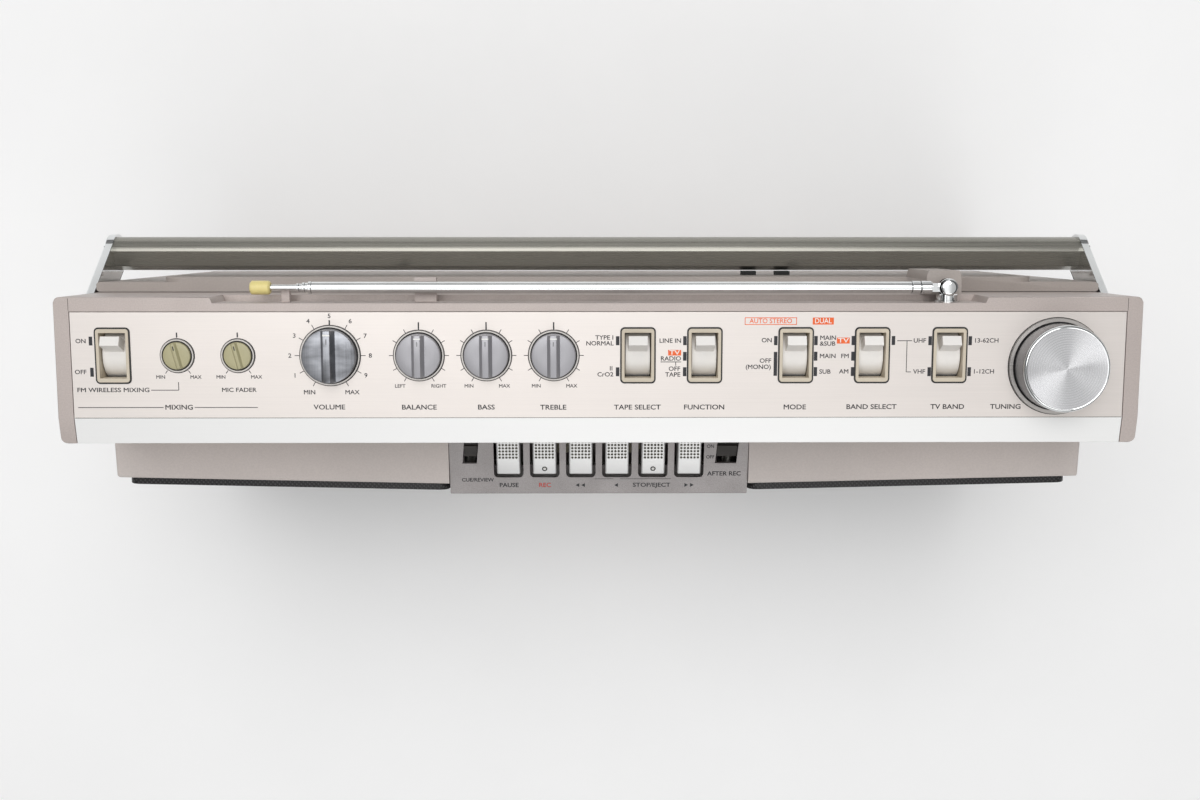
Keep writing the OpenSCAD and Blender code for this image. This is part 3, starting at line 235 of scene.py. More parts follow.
def soften(obj, width, segments=2, test=lambda a, b: (a - b).length > 1.0):
    """Bevels the folded edges that pass the test."""
    shaping(obj, "EDGE")
    if pick_edges(obj, test):
        bpy.ops.mesh.bevel(offset=width, segments=segments, profile=0.5, affect="EDGES", clamp_overlap=True)
    return done(obj)


def skin(node):
    """A merged copy of a CAD node, ready for rounding."""
    obj = bpy.data.objects.new(node + "_skin", NODES[node].data.copy())
    bpy.context.scene.collection.objects.link(obj)
    obj.data.materials.clear()
    shaping(obj, "VERT")
    pick_all()
    bpy.ops.mesh.remove_doubles(threshold=MERGE)
    bpy.ops.mesh.dissolve_limited(angle_limit=FACET)
    return done(obj)


def attach(obj, node, finish):
    """Gives a finished piece its finish and body; the CAD node stays as it is."""
    alone(obj)
    apply_place()
    bpy.ops.object.shade_smooth_by_angle(angle=SMOOTH)
    if not obj.data.materials:
        obj.data.materials.append(FINISH[finish])
    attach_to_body(obj, NODES[node]["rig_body"])
    return obj


def settle(obj, node, finish):
    """Attaches a finished piece, which then stands for the CAD node."""
    attach(obj, node, finish)
    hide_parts(node)
    return obj


def even_normals(obj):
    """Large faces keep their own direction, and the rounded edges turn between them."""
    alone(obj)
    obj.modifiers.new("even", "WEIGHTED_NORMAL").keep_sharp = True
    bpy.ops.object.modifier_apply(modifier="even")
    return obj


def rounded(node, finish, slot, *cuts):
    """Stands a softened copy for a CAD node; each cut is a width, its steps and a test of an edge's ends."""
    obj = skin(node)
    for width, segments, test in cuts:
        soften(obj, width, segments, test)
    return even_normals(settle(obj, node, finish))


def coat(node, finish):
    """A carried-over CAD node keeps its shape and gets a finish."""
    obj = NODES[node]
    if not obj.material_slots:
        obj.data.materials.append(FINISH[finish])
    for held in obj.material_slots:
        held.material = FINISH[finish]


def joined(name, parts):
    """Several made pieces as one."""
    alone(parts[0])
    for part in parts:
        part.select_set(True)
    if len(parts) > 1:
        bpy.ops.object.join()
    parts[0].name = name
    return parts[0]


def box(name, low, high):
    """A block between two corners, in millimetres."""
    low, high = Vector(low) * MM, Vector(high) * MM
    bpy.ops.mesh.primitive_cube_add(size=1, location=(low + high) / 2, scale=high - low)
    return added(name)


def turned(name, rings, x, y, steps=64, hollow=False):
    """A piece turned on an upright axis: each ring is a radius and a height, in millimetres.

    The rings of a hollow piece are its closed profile."""
    radius, level_now = rings[0]
    bpy.ops.mesh.primitive_circle_add(
        vertices=steps, radius=radius * MM, fill_type="NOTHING" if hollow else "NGON",
        location=(x * MM, y * MM, level_now * MM)
    )
    obj = added(name)
    bpy.ops.object.mode_set(mode="EDIT")
    bpy.ops.mesh.select_mode(type="EDGE" if hollow else "FACE")
    pick_all()
    draw = bpy.ops.mesh.extrude_edges_move if hollow else bpy.ops.mesh.extrude_region_move
    for wide, high in [*rings[1:], rings[0]] if hollow else rings[1:]:
        draw(TRANSFORM_OT_translate={"value": (0, 0, (high - level_now) * MM)})
        share = wide / radius
        bpy.ops.transform.resize(value=(share, share, 1), center_override=(x * MM, y * MM, high * MM))
        radius, level_now = wide, high
    if hollow:
        pick_all()
        bpy.ops.mesh.remove_doubles(threshold=MERGE)
    return outward(obj)


def flat(name, x, y, z, wide, long, columns=1, rows=1):
    """Enters edit mode on a flat grid, in metres, with all of it selected."""
    bpy.ops.mesh.primitive_grid_add(x_subdivisions=columns, y_subdivisions=rows, size=1, location=(x, y, z))
    bpy.context.active_object.scale = (wide, long, 1)
    obj = added(name)
    shaping(obj)
    pick_all()
    return obj


def lay_down(obj, x, y, z, turn):
    """Turns a piece about a point, in millimetres and degrees."""
    middle = at(x, y, z)
    return moved(obj, middle @ about(*turn) @ middle.inverted())


def word(text, x, y, z, height, align="CENTER", stretch=0.92, weight=0.017):
    """One printed word as a thin closed mesh that faces up; x, y and z in millimetres."""
    bpy.ops.object.text_add()
    letters = bpy.context.active_object.data
    letters.body = text
    letters.align_x, letters.align_y = align, "CENTER"
    letters.size = height * TYPE_SIZE
    letters.resolution_u = 3
    letters.extrude = LETTER_HALF
    letters.bevel_depth = height * weight
    letters.bevel_resolution = 0
    bpy.ops.object.convert(target="MESH")
    obj = bpy.context.active_object
    obj.scale = (stretch, 1, 1)
    obj.location = Vector((x, y, z)) * MM
    apply_place()
    shaping(obj, "VERT")
    pick_all()
    bpy.ops.mesh.remove_doubles(threshold=MERGE)
    return done(obj)


def stroke(x0, y0, x1, y1, z, width):
    """One printed line as a thin bar that lies flat."""
    run = Vector((x1 - x0, y1 - y0))
    middle = Vector(((x0 + x1) / 2, (y0 + y1) / 2, z)) * MM
    bpy.ops.mesh.primitive_cube_add(
        size=1, location=middle, rotation=(0, 0, math.atan2(run.y, run.x)),
        scale=(run.length * MM, width, PRINT_THICK * MM),
    )
    return added()


def paint_faces(obj, material, test):
    """Gives the faces that pass the test a second finish."""
    obj.data.materials.append(material)
    shaping(obj)
    pick_faces(obj, lambda middle, normal: test(middle / MM, normal))
    obj.active_material_index = len(obj.data.materials) - 1
    bpy.ops.object.material_slot_assign()
    return done(obj)


# Finishes

def blank(name):
    material = bpy.data.materials.new(name)
    material.use_nodes = True
    return material, material.node_tree.nodes["Principled BSDF"]


def feed(node, socket, value):
    """Links an input to another node's output, or gives it a value."""
    if hasattr(value, "is_output"):
        node.id_data.links.new(value, node.inputs[socket])
    else:
        node.inputs[socket].default_value = value


def step_of(beside, kind, **given):
    """A new shader node with these inputs, in the same tree as another node or socket."""
    node = beside.id_data.nodes.new("ShaderNode" + kind)
    for socket, value in given.items():
        feed(node, socket, value)
    return node


def placed(shader, scale=(1, 1, 1), move=(0, 0, 0)):
    """Object coordinates, moved and scaled."""
    where = step_of(shader, "TexCoord").outputs["Object"]
    return step_of(shader, "Mapping", Location=move, Scale=scale, Vector=where).outputs["Vector"]


def cloud(vector, scale, detail=3.0, rough=0.55):
    node = step_of(vector, "TexNoise", Scale=scale, Detail=detail, Roughness=rough, Vector=vector)
    return node.outputs["Fac"]


def ramp(value, stops):
    """A value turned into a colour or a level."""
    node = step_of(value, "ValToRGB", Fac=value)
    steps = node.color_ramp.elements
    while len(steps) < len(stops):
        steps.new(0.5)
    for step, (place, tone) in zip(steps, stops):
        step.position = place
        step.color = (*tone, 1) if hasattr(tone, "__len__") else (tone, tone, tone, 1)
    return node.outputs["Color"]


def blended(share, first, second, mode="MIX"):
    """Two colours mixed; the first is a socket, and the others are sockets or values."""
    node = step_of(first, "Mix")
    node.data_type = "RGBA"
    node.blend_type = mode
    for key, given in ((0, share), (6, first), (7, second)):
        feed(node, key, given)
    return node.outputs[2]


def relief(shader, height, strength, distance):
    bump = step_of(shader, "Bump", Strength=strength, Distance=distance, Height=height)
    feed(shader, "Normal", bump.outputs["Normal"])


def shade(base, factor):
    return tuple(min(1.0, v * factor) for v in base)


def moulded(name, base, grain=900, rough=0.5, depth=0.12, stain=0.9, metal=0.0, speckle=0.94):
    """Moulded or painted plastic: fine grain, faint speckle, and slow changes of tone from age."""
    material, shader = blank(name)
    where = placed(shader)
    slow = ramp(cloud(where, 9, 4), ((0.3, shade(base, stain)), (0.7, shade(base, 1.03))))
    fine = ramp(cloud(where, grain, 2), ((0.35, speckle), (0.65, 1.0)))
    feed(shader, "Base Color", blended(1.0, slow, fine, "MULTIPLY"))
    feed(shader, "Roughness", ramp(cloud(where, 60, 3), ((0.3, rough - 0.06), (0.7, rough + 0.08))))
    relief(shader, cloud(where, grain, 2), depth, 0.00006)
    feed(shader, "Metallic", metal)
    return material


def brushed(name, base, rough=0.36, metal=0.9, along="X", wear_and_reflection=0.93, streak=0.955, blotch=2.2):
    """Metal with long fine brush lines along one axis."""
    material, shader = blank(name)
    stretch = {"X": (14, 2600, 2600), "Y": (2600, 14, 2600), "Z": (2600, 2600, 14)}[along]
    lines = cloud(placed(shader, stretch), 1, 3, 0.6)
    patches = cloud(placed(shader, (3, 9, 9)), blotch, 4)
    # Slow patches darken the metal: mild random tone from use and age on most finishes, and deep dark patches
    # on the volume knob that are painted reflection.
    slow = ramp(patches, ((0.3, shade(base, wear_and_reflection)), (0.72, base)))
    tone = ramp(lines, ((0.3, streak), (0.7, 1.0)))
    feed(shader, "Base Color", blended(1.0, slow, tone, "MULTIPLY"))
    feed(shader, "Roughness", ramp(lines, ((0.25, rough - 0.06), (0.75, rough + 0.1))))
    relief(shader, lines, 0.1, 0.00005)
    feed(shader, "Metallic", metal)
    return material


def polished(name, base, rough=0.045):
    """Chrome with faint clouds and pits in its polish."""
    material, shader = blank(name)
    where = placed(shader)
    haze = cloud(where, 130, 4, 0.65)
    feed(shader, "Roughness", ramp(haze, ((0.35, rough * 0.6), (0.75, rough * 2.4))))
    feed(shader, "Base Color", ramp(cloud(where, 40, 5), ((0.3, shade(base, 0.86)), (0.6, base))))
    feed(shader, "Metallic", 1.0)
    return material


def spun(name, base, x, y, rough=0.27):
    """A turned metal face: fine rings about an upright axis, with a stretched highlight across them."""
    material, shader = blank(name)
    middle = placed(shader, move=(-x * MM, -y * MM, 0))
    rings = step_of(shader, "TexWave", Scale=260, Distortion=0.6, Detail=2, Vector=middle)
    rings.wave_type, rings.rings_direction = "RINGS", "Z"
    lines = rings.outputs["Fac"]
    feed(shader, "Base Color", ramp(lines, ((0.0, shade(base, 0.9)), (1.0, base))))
    feed(shader, "Roughness", ramp(lines, ((0.0, rough + 0.06), (1.0, rough))))
    relief(shader, lines, 0.06, 0.00003)
    tangent = step_of(shader, "Tangent")
    tangent.direction_type, tangent.axis = "RADIAL", "Z"
    feed(shader, "Tangent", tangent.outputs["Tangent"])
    feed(shader, "Metallic", 1.0)
    feed(shader, "Anisotropic", 0.95)
    return material


def woven(name, base, bright, pitch):
    """Painted sheet with a fine diamond weave pressed into it."""
    material, shader = blank(name)
    strands = []
    for way in (1, -1):
        band = step_of(shader, "TexWave", Scale=0.44 / pitch, Vector=placed(shader, (way, 1, 1)))
        band.bands_direction = "DIAGONAL"
        strands.append(band.outputs["Fac"])
    weave = blended(1.0, strands[0], strands[1], "MULTIPLY")
    feed(shader, "Base Color", ramp(weave, ((0.2, base), (0.75, bright))))
    relief(shader, weave, 0.5, 0.0004)
    feed(shader, "Roughness", 0.46)
    return material


def printed(name, base):
    """Screen print: dense ink, thinned a little here and there."""
    material, shader = blank(name)
    thin = cloud(placed(shader), 700, 3)
    feed(shader, "Base Color", ramp(thin, ((0.3, base), (0.85, shade(base, 1.7)))))
    feed(shader, "Roughness", 0.55)
    return material


def clear_plastic(name, base, rough=0.04, dense=0.2):
    """Clear moulded plastic with faint scuffs; dense is how much of it is seen."""
    material, shader = blank(name)
    scuffs = cloud(placed(shader), 90, 5, 0.7)
    feed(shader, "Base Color", ramp(scuffs, ((0.45, base), (0.8, shade(base, 1.3)))))
    feed(shader, "Roughness", ramp(scuffs, ((0.5, rough), (0.8, rough * 3))))
    feed(shader, "Alpha", dense)
    return material


def rubbery(name, base):
    """Matt rubber with a dusty grain."""
    material, shader = blank(name)
    where = placed(shader)
    feed(shader, "Base Color", ramp(cloud(where, 240, 4), ((0.3, base), (0.8, shade(base, 1.8)))))
    relief(shader, cloud(where, 1100, 2), 0.3, 0.00008)
    feed(shader, "Roughness", 0.82)
    return material


FINISH = {}


def mix_finishes():
    """Makes each finish once, from the colours in the sidebar."""
    c = colours()
    FINISH.update(
        shell=moulded("shell_taupe", c.shell, 1000, 0.5, 0.16, 0.93),
        # The rear finish is the shell plastic darkened as painted shade.
        rear=moulded("rear_taupe_painted_shade", c.rear, 1000, 0.5, 0.16, 0.93),
        housing=moulded("housing_silver", c.housing, 1500, 0.42, 0.1, 0.93, 0.25, 0.9),
        fascia=brushed("fascia_brushed", c.fascia, 0.38, 0.5),
        strip=brushed("strip_brushed", srgb(242, 242, 241), 0.38, 0.2, "X", 0.985, 0.985),
        ivory=moulded("ivory_satin", c.ivory, 600, 0.36, 0.05, 0.9, 0.0, 0.985),
        bezel=moulded("ivory_bezel", srgb(208, 197, 178), 700, 0.38, 0.06, 0.86, 0.0, 0.97),
        knob=brushed("knob_satin", c.knob, 0.42, 0.5, "Y", 0.9, 0.92),
        # Painted reflection: the volume knob's dark mottled patches stand for its surroundings reflected in
        # the brushed metal.
        worn=brushed("knob_worn", srgb(178, 180, 186), 0.3, 0.75, "Y", 0.28, 0.72, 14),
        ring=brushed("ring_silver", srgb(196, 192, 188), 0.3, 0.9, "X", 0.9, 0.95),
        side=brushed("knob_side", srgb(128, 128, 130), 0.3, 0.9, "Z", 0.86, 0.9),
        beige=moulded("knob_beige", c.beige, 800, 0.4, 0.06, 0.9, 0.0, 0.97),
        chrome=polished("chrome_polished", c.chrome),
        dark_chrome=polished("chrome_dark", srgb(128, 126, 122), 0.1),
        key=brushed("key_silver", c.key, 0.34, 0.4, "X", 0.95, 0.97),
        # Painted shade: the floors of the key dimples are coloured dark for the shade that falls in them.
        pit=moulded("key_dimple_painted_shade", srgb(84, 80, 68), 900, 0.5, 0.05),
        deck=moulded("deck_metallic", c.deck, 2300, 0.42, 0.14, 0.88, 0.35, 0.78),
        grip=brushed("grip_satin", c.grip, 0.27, 0.75, "X", 0.94, 0.96),
        grille=woven("grille_black", shade(c.black, 0.7), srgb(62, 61, 62), 1.7 * MM),
        # Black for the parts that are black, and painted shade where it fills the knob recesses, the gaps
        # round the lever bezels, the screw slots and the aerial's grooves.
        trim=moulded("black_trim_and_painted_shade", c.black, 800, 0.42, 0.08, 0.8),
        pocket=moulded("slot_dark", srgb(44, 38, 34), 700, 0.5, 0.08, 0.8),
        cream=moulded("tip_cream", c.cream, 500, 0.38, 0.05, 0.88),
        ink=printed("print_ink", c.ink),
        orange=printed("print_orange", c.orange),
        white=printed("print_white", srgb(232, 230, 222)),
        red=printed("print_red", srgb(176, 60, 50)),
        window=clear_plastic("window_clear", srgb(150, 154, 156), 0.04, 0.12),
        smoke=clear_plastic("window_smoke", srgb(60, 56, 54), 0.05, 0.42),
        rubber=rubbery("rubber_black", srgb(30, 30, 30)),
        steel=brushed("steel_plated", srgb(190, 188, 182), 0.3, 0.95, "X", 0.85, 0.92),
        frame=moulded("speaker_frame", srgb(70, 70, 70), 700, 0.45, 0.1, 0.85, 0.5),
        cone=moulded("speaker_paper", srgb(52, 48, 44), 1400, 0.85, 0.5, 0.8),
        board=moulded("board_phenolic", srgb(140, 98, 50), 900, 0.5, 0.06, 0.85),
        reel=moulded("reel_ivory", srgb(226, 220, 200), 700, 0.42, 0.05, 0.92),
    )


# Places of the controls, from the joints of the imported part

JOINTS = {j["name"]: j for j in frame["joints"]}
LEVERS = ("mixing", "tape", "function", "mode", "band", "tv")
KEYS = ("pause", "record", "rewind", "play", "stop", "forward")
TOP = span("control_fascia")[1].z
ROW = JOINTS["volume_turn"]["pos_m"][1] / MM
SLOPE = math.atan2(-JOINTS["review_slide"]["axis"][2], -JOINTS["review_slide"]["axis"][1])


def lever_x(name):
    return JOINTS[name + "_switch"]["pos_m"][0] / MM


def knob_at(name):
    x, y, _ = JOINTS[name + "_turn"]["pos_m"]
    return x / MM, y / MM


def level(a, b, z):
    return abs(a.z - z) < NEAR and abs(b.z - z) < NEAR


class RADIO_OT_shells(bpy.types.Operator):
    """Rounds the two shells of the lower cabinet"""
    bl_idname = "radio.shells"
    bl_label = "Cabinet shells"

    def execute(self, context):
        low, high = span("front_cabinet")
        edge = sizes().shell_edge
        rounded("front_cabinet", "shell", "cabinet_taupe", (edge, 4, lambda a, b: (a - b).length > LONG and (
            (min(abs(a.x), abs(b.x)) > high.x - NEAR and max(-a.y, -b.y) > 6)
            or (max(a.y, b.y) < low.y + 4.2
                and (min(a.z, b.z) > high.z - 2.6 or max(a.z, b.z) < low.z + NEAR)))))
        foot, lip = (corner.z for corner in span("rear_cabinet"))
        wall = span("battery_door")[1].y
        hump, side = wall + 2.6, 268.9

        def crowned(v):
            return min(abs(v.y - hump), abs(v.z - lip)) < NEAR

        # The rear shell takes the darker rear finish, which is painted shade.
        rounded("rear_cabinet", "rear", "cabinet_taupe", (edge, 4, lambda a, b: (a - b).length > LONG and (
            (min(abs(a.x), abs(b.x)) > side and max(a.y, b.y) > 0)
            or (abs(a.y - wall) < NEAR and abs(b.y - wall) < NEAR and max(a.z, b.z) < foot + NEAR))),
            (edge * 0.75, 3, lambda a, b: min(a.y, b.y) > wall + 0.5 and crowned(a) and crowned(b)))
        return {"FINISHED"}


class RADIO_OT_housing(bpy.types.Operator):
    """Rounds the control housing and its frame round the fascia"""
    bl_idname = "radio.housing"
    bl_label = "Control housing"

    def execute(self, context):
        high = span("upper_housing")[1]
        edge = sizes().shell_edge
        rear_y, notch_x, notch_y, notch_deep = 41.9, 195, 38.8, 26
        rounded(
            "upper_housing", "housing", "housing_silver",
            (edge * 1.9, 5, lambda a, b: min(abs(a.x), abs(b.x)) > high.x - NEAR and abs(a.z - b.z) > 30),
            (edge * 0.7, 3, lambda a, b: min(a.z, b.z) > high.z - 3 and (
                min(abs(a.x), abs(b.x)) > high.x - 4 or min(a.y, b.y) > rear_y)),
            (sizes().trim_edge, 2, lambda a, b: min(a.z, b.z) > high.z - notch_deep and (a - b).length > 2
                and min(a.y, b.y) > notch_y and max(abs(a.x), abs(b.x)) < notch_x))
        seam_x, seam_from, seam_to, seam_width = 262.4, 35.2, 41.4, 0.22 * MM
        seams = [stroke(x, seam_from, x, seam_to, high.z + 0.008, seam_width) for x in (-seam_x, seam_x)]
        attach(joined("housing_seams", seams), "upper_housing", "pocket")
        return {"FINISHED"}


class RADIO_OT_fascia(bpy.types.Operator):
    """Softens the fascia's edges and gives its front strip a brighter brush"""
    bl_idname = "radio.fascia"
    bl_label = "Control fascia"

    def execute(self, context):
        obj = skin("control_fascia")
        low, high = span("control_fascia")
        strip_y, crease = -18.3, low.y + 13.1
        end_x, front_y, rear_y = 250, -30, 34
        soften(obj, sizes().trim_edge * 0.7, 2, lambda a, b: (
            (a - b).length > LONG and min(a.z, b.z) > TOP - 2.5
            and (max(abs(a.x), abs(b.x)) > end_x or max(a.y, b.y) < front_y or min(a.y, b.y) > rear_y)))
        obj.data.materials.append(FINISH["fascia"])
        paint_faces(obj, FINISH["strip"], lambda middle, normal: middle.y < strip_y)
        alone(settle(obj, "control_fascia", "fascia"))
        bpy.ops.object.shade_smooth_by_angle(angle=math.radians(6))
        even_normals(obj)
        half = high.x - 0.4
        line = stroke(-half, crease, half, crease, TOP + 0.01, 0.3 * MM)
        line.name = "fascia_crease"
        attach(line, "control_fascia", "dark_chrome")
        return {"FINISHED"}


def border(name, x, y, wide, long, corner, rim, z, high):
    """A flat rectangular ring with round corners that lies at height z, in millimetres."""
    obj = flat(name, x * MM, y * MM, z * MM, wide * MM, long * MM)
    bpy.ops.mesh.select_mode(type="VERT")
    bpy.ops.mesh.bevel(offset=corner * MM, segments=5, profile=0.5, affect="VERTICES")
    bpy.ops.mesh.select_mode(type="FACE")
    pick_all()
    bpy.ops.mesh.inset(thickness=rim * MM)
    bpy.ops.mesh.delete(type="FACE")
    pick_all()
    bpy.ops.mesh.extrude_region_move(TRANSFORM_OT_translate={"value": (0, 0, high * MM)})
    return outward(obj)


class RADIO_OT_levers(bpy.types.Operator):
    """Rounds the bezels and levers, and sets a black ring of painted shade round each well"""
    bl_idname = "radio.levers"
    bl_label = "Switch levers"

    def execute(self, context):
        rim = span("switch_bezels")[1].z
        places = [lever_x(name) for name in LEVERS]

        def aside(v):
            return min(abs(v.x - x) for x in places)

        rounded("switch_bezels", "bezel", "ivory_plastic", (
            1.5 * MM, 4, lambda a, b: abs(a.z - b.z) > 0.5 and min(a.z, b.z) > TOP - NEAR
            and min(aside(a), aside(b)) > 7.9), (sizes().trim_edge * 0.9, 3, lambda a, b: level(a, b, rim)))
        # Painted shade: a black ring round each bezel stands for the shade in the gap between bezel and
        # fascia.
        wide, long, corner, line, high = 17.7, 28.1, 2.2, 1.1, 0.35
        outlines = [border("outline", x, ROW, wide, long, corner, line, TOP, high) for x in places]
        attach(joined("lever_gap_shade", outlines), "switch_bezels", "trim")
        for name in LEVERS:
            x = lever_x(name)
            rounded(name + "_lever", "ivory", "ivory_plastic", (
                sizes().trim_edge * 1.3, 3, lambda a, b: max(abs(a.x - x), abs(b.x - x)) < 6.15))
        return {"FINISHED"}


class RADIO_OT_knob_seats(bpy.types.Operator):
    """Turns a silver ring for each knob, on a black disc that is painted shade in the recess round it"""
    bl_idname = "radio.knob_seats"
    bl_label = "Knob seats"

    def execute(self, context):
        seats, rings = [], []
        for name in ("mixing", "fader", "volume", "balance", "bass", "treble", "tuning"):
            x, y = knob_at(name)
            low, high = span(name + "_knob")
            r = (high.x - low.x) / 2
            wide, tall = (2.0, 1.5) if name == "tuning" else (0.95, 0.9)
            reach = r + wide
            rim = reach + 0.95
            # Painted shade: the black disc shows in the recess round the silver ring and in the gap round the
            # knob.
            seats.append(turned("seat", [(rim, TOP), (rim, TOP + 0.1), (reach, TOP + 0.12)], x, y))
            rings.append(turned("ring", [
                (r + 0.6, TOP + 0.05), (r + 0.6, TOP + tall - 0.15), (r + 0.75, TOP + tall),
                (reach + 0.35, TOP + tall), (reach + 0.6, TOP + tall - 0.25), (reach + 0.6, TOP + 0.05),
            ], x, y, hollow=True))
        settle(joined("knob_seats", seats), "knob_rings", "trim")
        attach(joined("knob_bright_rings", rings), "knob_rings", "ring")
        return {"FINISHED"}


class RADIO_OT_bar_knobs(bpy.types.Operator):
    """Turns the knobs with a ridge across the face, gives each its index line, and on the larger knobs paints
    a highlight across the ridge's rear end
    """
    bl_idname = "radio.bar_knobs"
    bl_label = "Bar knobs"

    def ridge(self, r, low, top, x, y, wide, lean):
        """A turned block cut down to a ridge whose flanks lean in."""
        obj = turned("ridge", [(r, low), (r, top - 0.5), (r - 0.15, top - 0.2), (r - 0.5, top)], x, y, 96)
        slant = math.radians(lean)
        for side in (-1, 1):
            shaping(obj)
            pick_all()
            bpy.ops.mesh.bisect(
                plane_co=((x + side * wide / 2) * MM, y * MM, low * MM),
                plane_no=(side * math.cos(slant), 0, math.sin(slant)), use_fill=True, clear_outer=True)
            done(obj)
        soften(obj, sizes().trim_edge, 2, lambda a, b: (a - b).length > r * 0.8 and min(a.z, b.z) > top - 0.1)
        shaping(obj)
        return outward(obj)

    def execute(self, context):
        for name, bar in (("mixing", 3.8), ("fader", 3.8), ("volume", 7.4),
                          ("balance", 6.8), ("bass", 6.8), ("treble", 6.8)):
            node = name + "_knob"
            x, y = knob_at(name)
            low, high = span(node)
            small = name in ("mixing", "fader")
            r, top = (high.x - low.x) / 2, high.z
            face = TOP + (top - TOP) * 0.55
            body = turned("body", [
                (r - 0.4, TOP + 0.35), (r, TOP + 0.6), (r, face - 0.6), (r - 0.2, face - 0.2),
                (r - 0.6, face), (r * 0.5, face - 0.03), (0.4, face - 0.05)], x, y, 96)
            bar_piece = self.ridge(r - 0.35, face - 0.5, top, x, y, bar, 30 if small else 24)
            reach = (0.42, 0.74) if small else (0.46, 0.66)
            index = box(name + "_index", (x - 0.28, y + r * reach[0], top - 0.2),
                        (x + 0.28, y + r * reach[1], top + 0.03))
            knob = joined(node + "_turned", [body, bar_piece])
            lean = 14 if small else 0
            lay_down(knob, x, y, 0, ("Z", lean))
            lay_down(index, x, y, 0, ("Z", lean))
            # The volume knob takes the finish with painted reflection.
            finish = "beige" if small else "worn" if name == "volume" else "knob"
            settle(knob, node, finish)
            attach(index, node, "ink" if small else "side")
            if not small:
                # Painted highlight: a white bar across the ridge's rear end stands for the bright edge that
                # light makes there.
                painted_highlight = box(name + "_glint", (x - 1.7, y + r * 0.77, top - 0.2),
                            (x + 1.7, y + r * 0.82, top + 0.02))
                attach(painted_highlight, node, "white")
        return {"FINISHED"}


class RADIO_OT_tuning_knob(bpy.types.Operator):
    """Turns the large tuning knob with its spun face and polished rim"""
    bl_idname = "radio.tuning_knob"
    bl_label = "Tuning knob"

    def execute(self, context):
        x, y = knob_at("tuning")
        low, high = span("tuning_knob")
        r, top = (high.x - low.x) / 2, high.z
        knob = turned("tuning_knob_turned", [
            (r - 0.8, TOP + 0.4), (r, TOP + 1.1), (r, top - 2.0), (r - 0.12, top - 1.2),
            (r - 0.45, top - 0.5), (r - 0.95, top - 0.1), (r - 1.25, top), (r - 1.6, top - 0.12),
            (r - 1.9, top - 0.14), (r * 0.5, top - 0.16), (0.6, top - 0.18),
        ], x, y, 128)
        knob.data.materials.append(FINISH["side"])
        centre = Vector((x, y, 0))
        inner = r - 1.75
        paint_faces(knob, FINISH["chrome"], lambda middle, normal: middle.z > top - 1.1
                    and (middle.xy - centre.xy).length > inner)
        face = spun("knob_spun", srgb(226, 226, 228), x, y)
        paint_faces(knob, face, lambda middle, normal: middle.z > top - 0.3
                    and (middle.xy - centre.xy).length <= inner)
        settle(knob, "tuning_knob", "side")
        return {"FINISHED"}


PRINT_NAMES = (
    ("VOLUME", -134.9, -12.9), ("BALANCE", -90.2, -13.0), ("BASS", -56.8, -13.0),
    ("TREBLE", -23.3, -13.1), ("TAPE SELECT", 18.7, -13.1), ("FUNCTION", 52.1, -13.1),
    ("MODE", 97.4, -13.1), ("BAND SELECT", 135.8, -13.0), ("TV BAND", 174.0, -13.0),
    ("TUNING", 203.2, -13.0), ("MIXING", -209.7, -12.9), ("MIC FADER", -179.6, -4.2),
)
PRINT_MARKS = {
    "RIGHT": (
        ("ON", -254.3, 20.2), ("OFF", -254.8, 4.8), ("TYPE I", 6.8, 21.8), ("NORMAL", 6.8, 18.9),
        ("II", 6.4, 6.4), ("CrO2", 6.7, 3.4), ("LINE IN", 40.5, 20.2), ("RADIO", 40.4, 11.3),
        ("OFF", 40.0, 6.2), ("TAPE", 40.1, 3.3), ("ON", 85.6, 20.4), ("OFF", 85.3, 10.2),
        ("(MONO)", 85.3, 7.1), ("FM", 124.1, 12.5), ("AM", 124.1, 4.8), ("UHF", 162.3, 20.2),
        ("VHF", 162.3, 4.7),
    ),
    "LEFT": (
        ("FM WIRELESS MIXING", -260.0, -4.2), ("MAIN", 109.3, 21.6), ("&SUB", 109.3, 18.7),
        ("MAIN", 109.3, 12.5), ("SUB", 109.3, 4.7), ("13-62CH", 186.1, 20.2), ("1-12CH", 186.1, 4.7),
    ),
    "CENTER": (
        ("5", -133.9, 32.6), ("4", -144.4, 30.0), ("3", -151.4, 22.8), ("2", -153.9, 12.9),
        ("1", -151.6, 3.0), ("MIN", -144.6, -5.4), ("6", -123.6, 30.0), ("7", -116.4, 22.7),
        ("8", -114.0, 12.9), ("9", -116.4, 3.0), ("MAX", -123.4, -5.4),
    ),
}
PRINT_BARS = (
    (-252.1, 20.3, 4.4), (-252.1, 4.8, 4.5), (8.8, 20.3, 4.5), (8.8, 4.8, 4.5), (42.2, 20.3, 4.5),
    (42.2, 12.5, 4.4), (42.2, 4.8, 4.5), (87.4, 20.3, 4.6), (87.4, 8.7, 12.0), (107.4, 20.3, 4.6),
    (107.4, 12.5, 4.5), (107.4, 4.8, 4.5), (126.0, 20.3, 4.6), (126.0, 12.5, 4.5), (126.0, 4.8, 4.5),
    (146.0, 20.3, 4.5), (164.3, 20.2, 4.5), (164.3, 4.7, 4.5), (184.3, 20.2, 4.5), (184.3, 4.7, 4.5),
)
PRINT_LINES = (
    (-223.2, -4.2, -209.5, -4.2), (-209.5, -4.2, -209.5, -0.2), (-259.8, -12.9, -217.4, -12.9),
    (-202.0, -12.9, -170.5, -12.9), (30.2, 9.7, 40.4, 9.7), (37.7, 9.7, 37.7, 7.8),
    (147.9, 20.2, 155.3, 20.2), (152.8, 20.2, 152.8, 4.6), (152.8, 4.6, 155.2, 4.6),
)


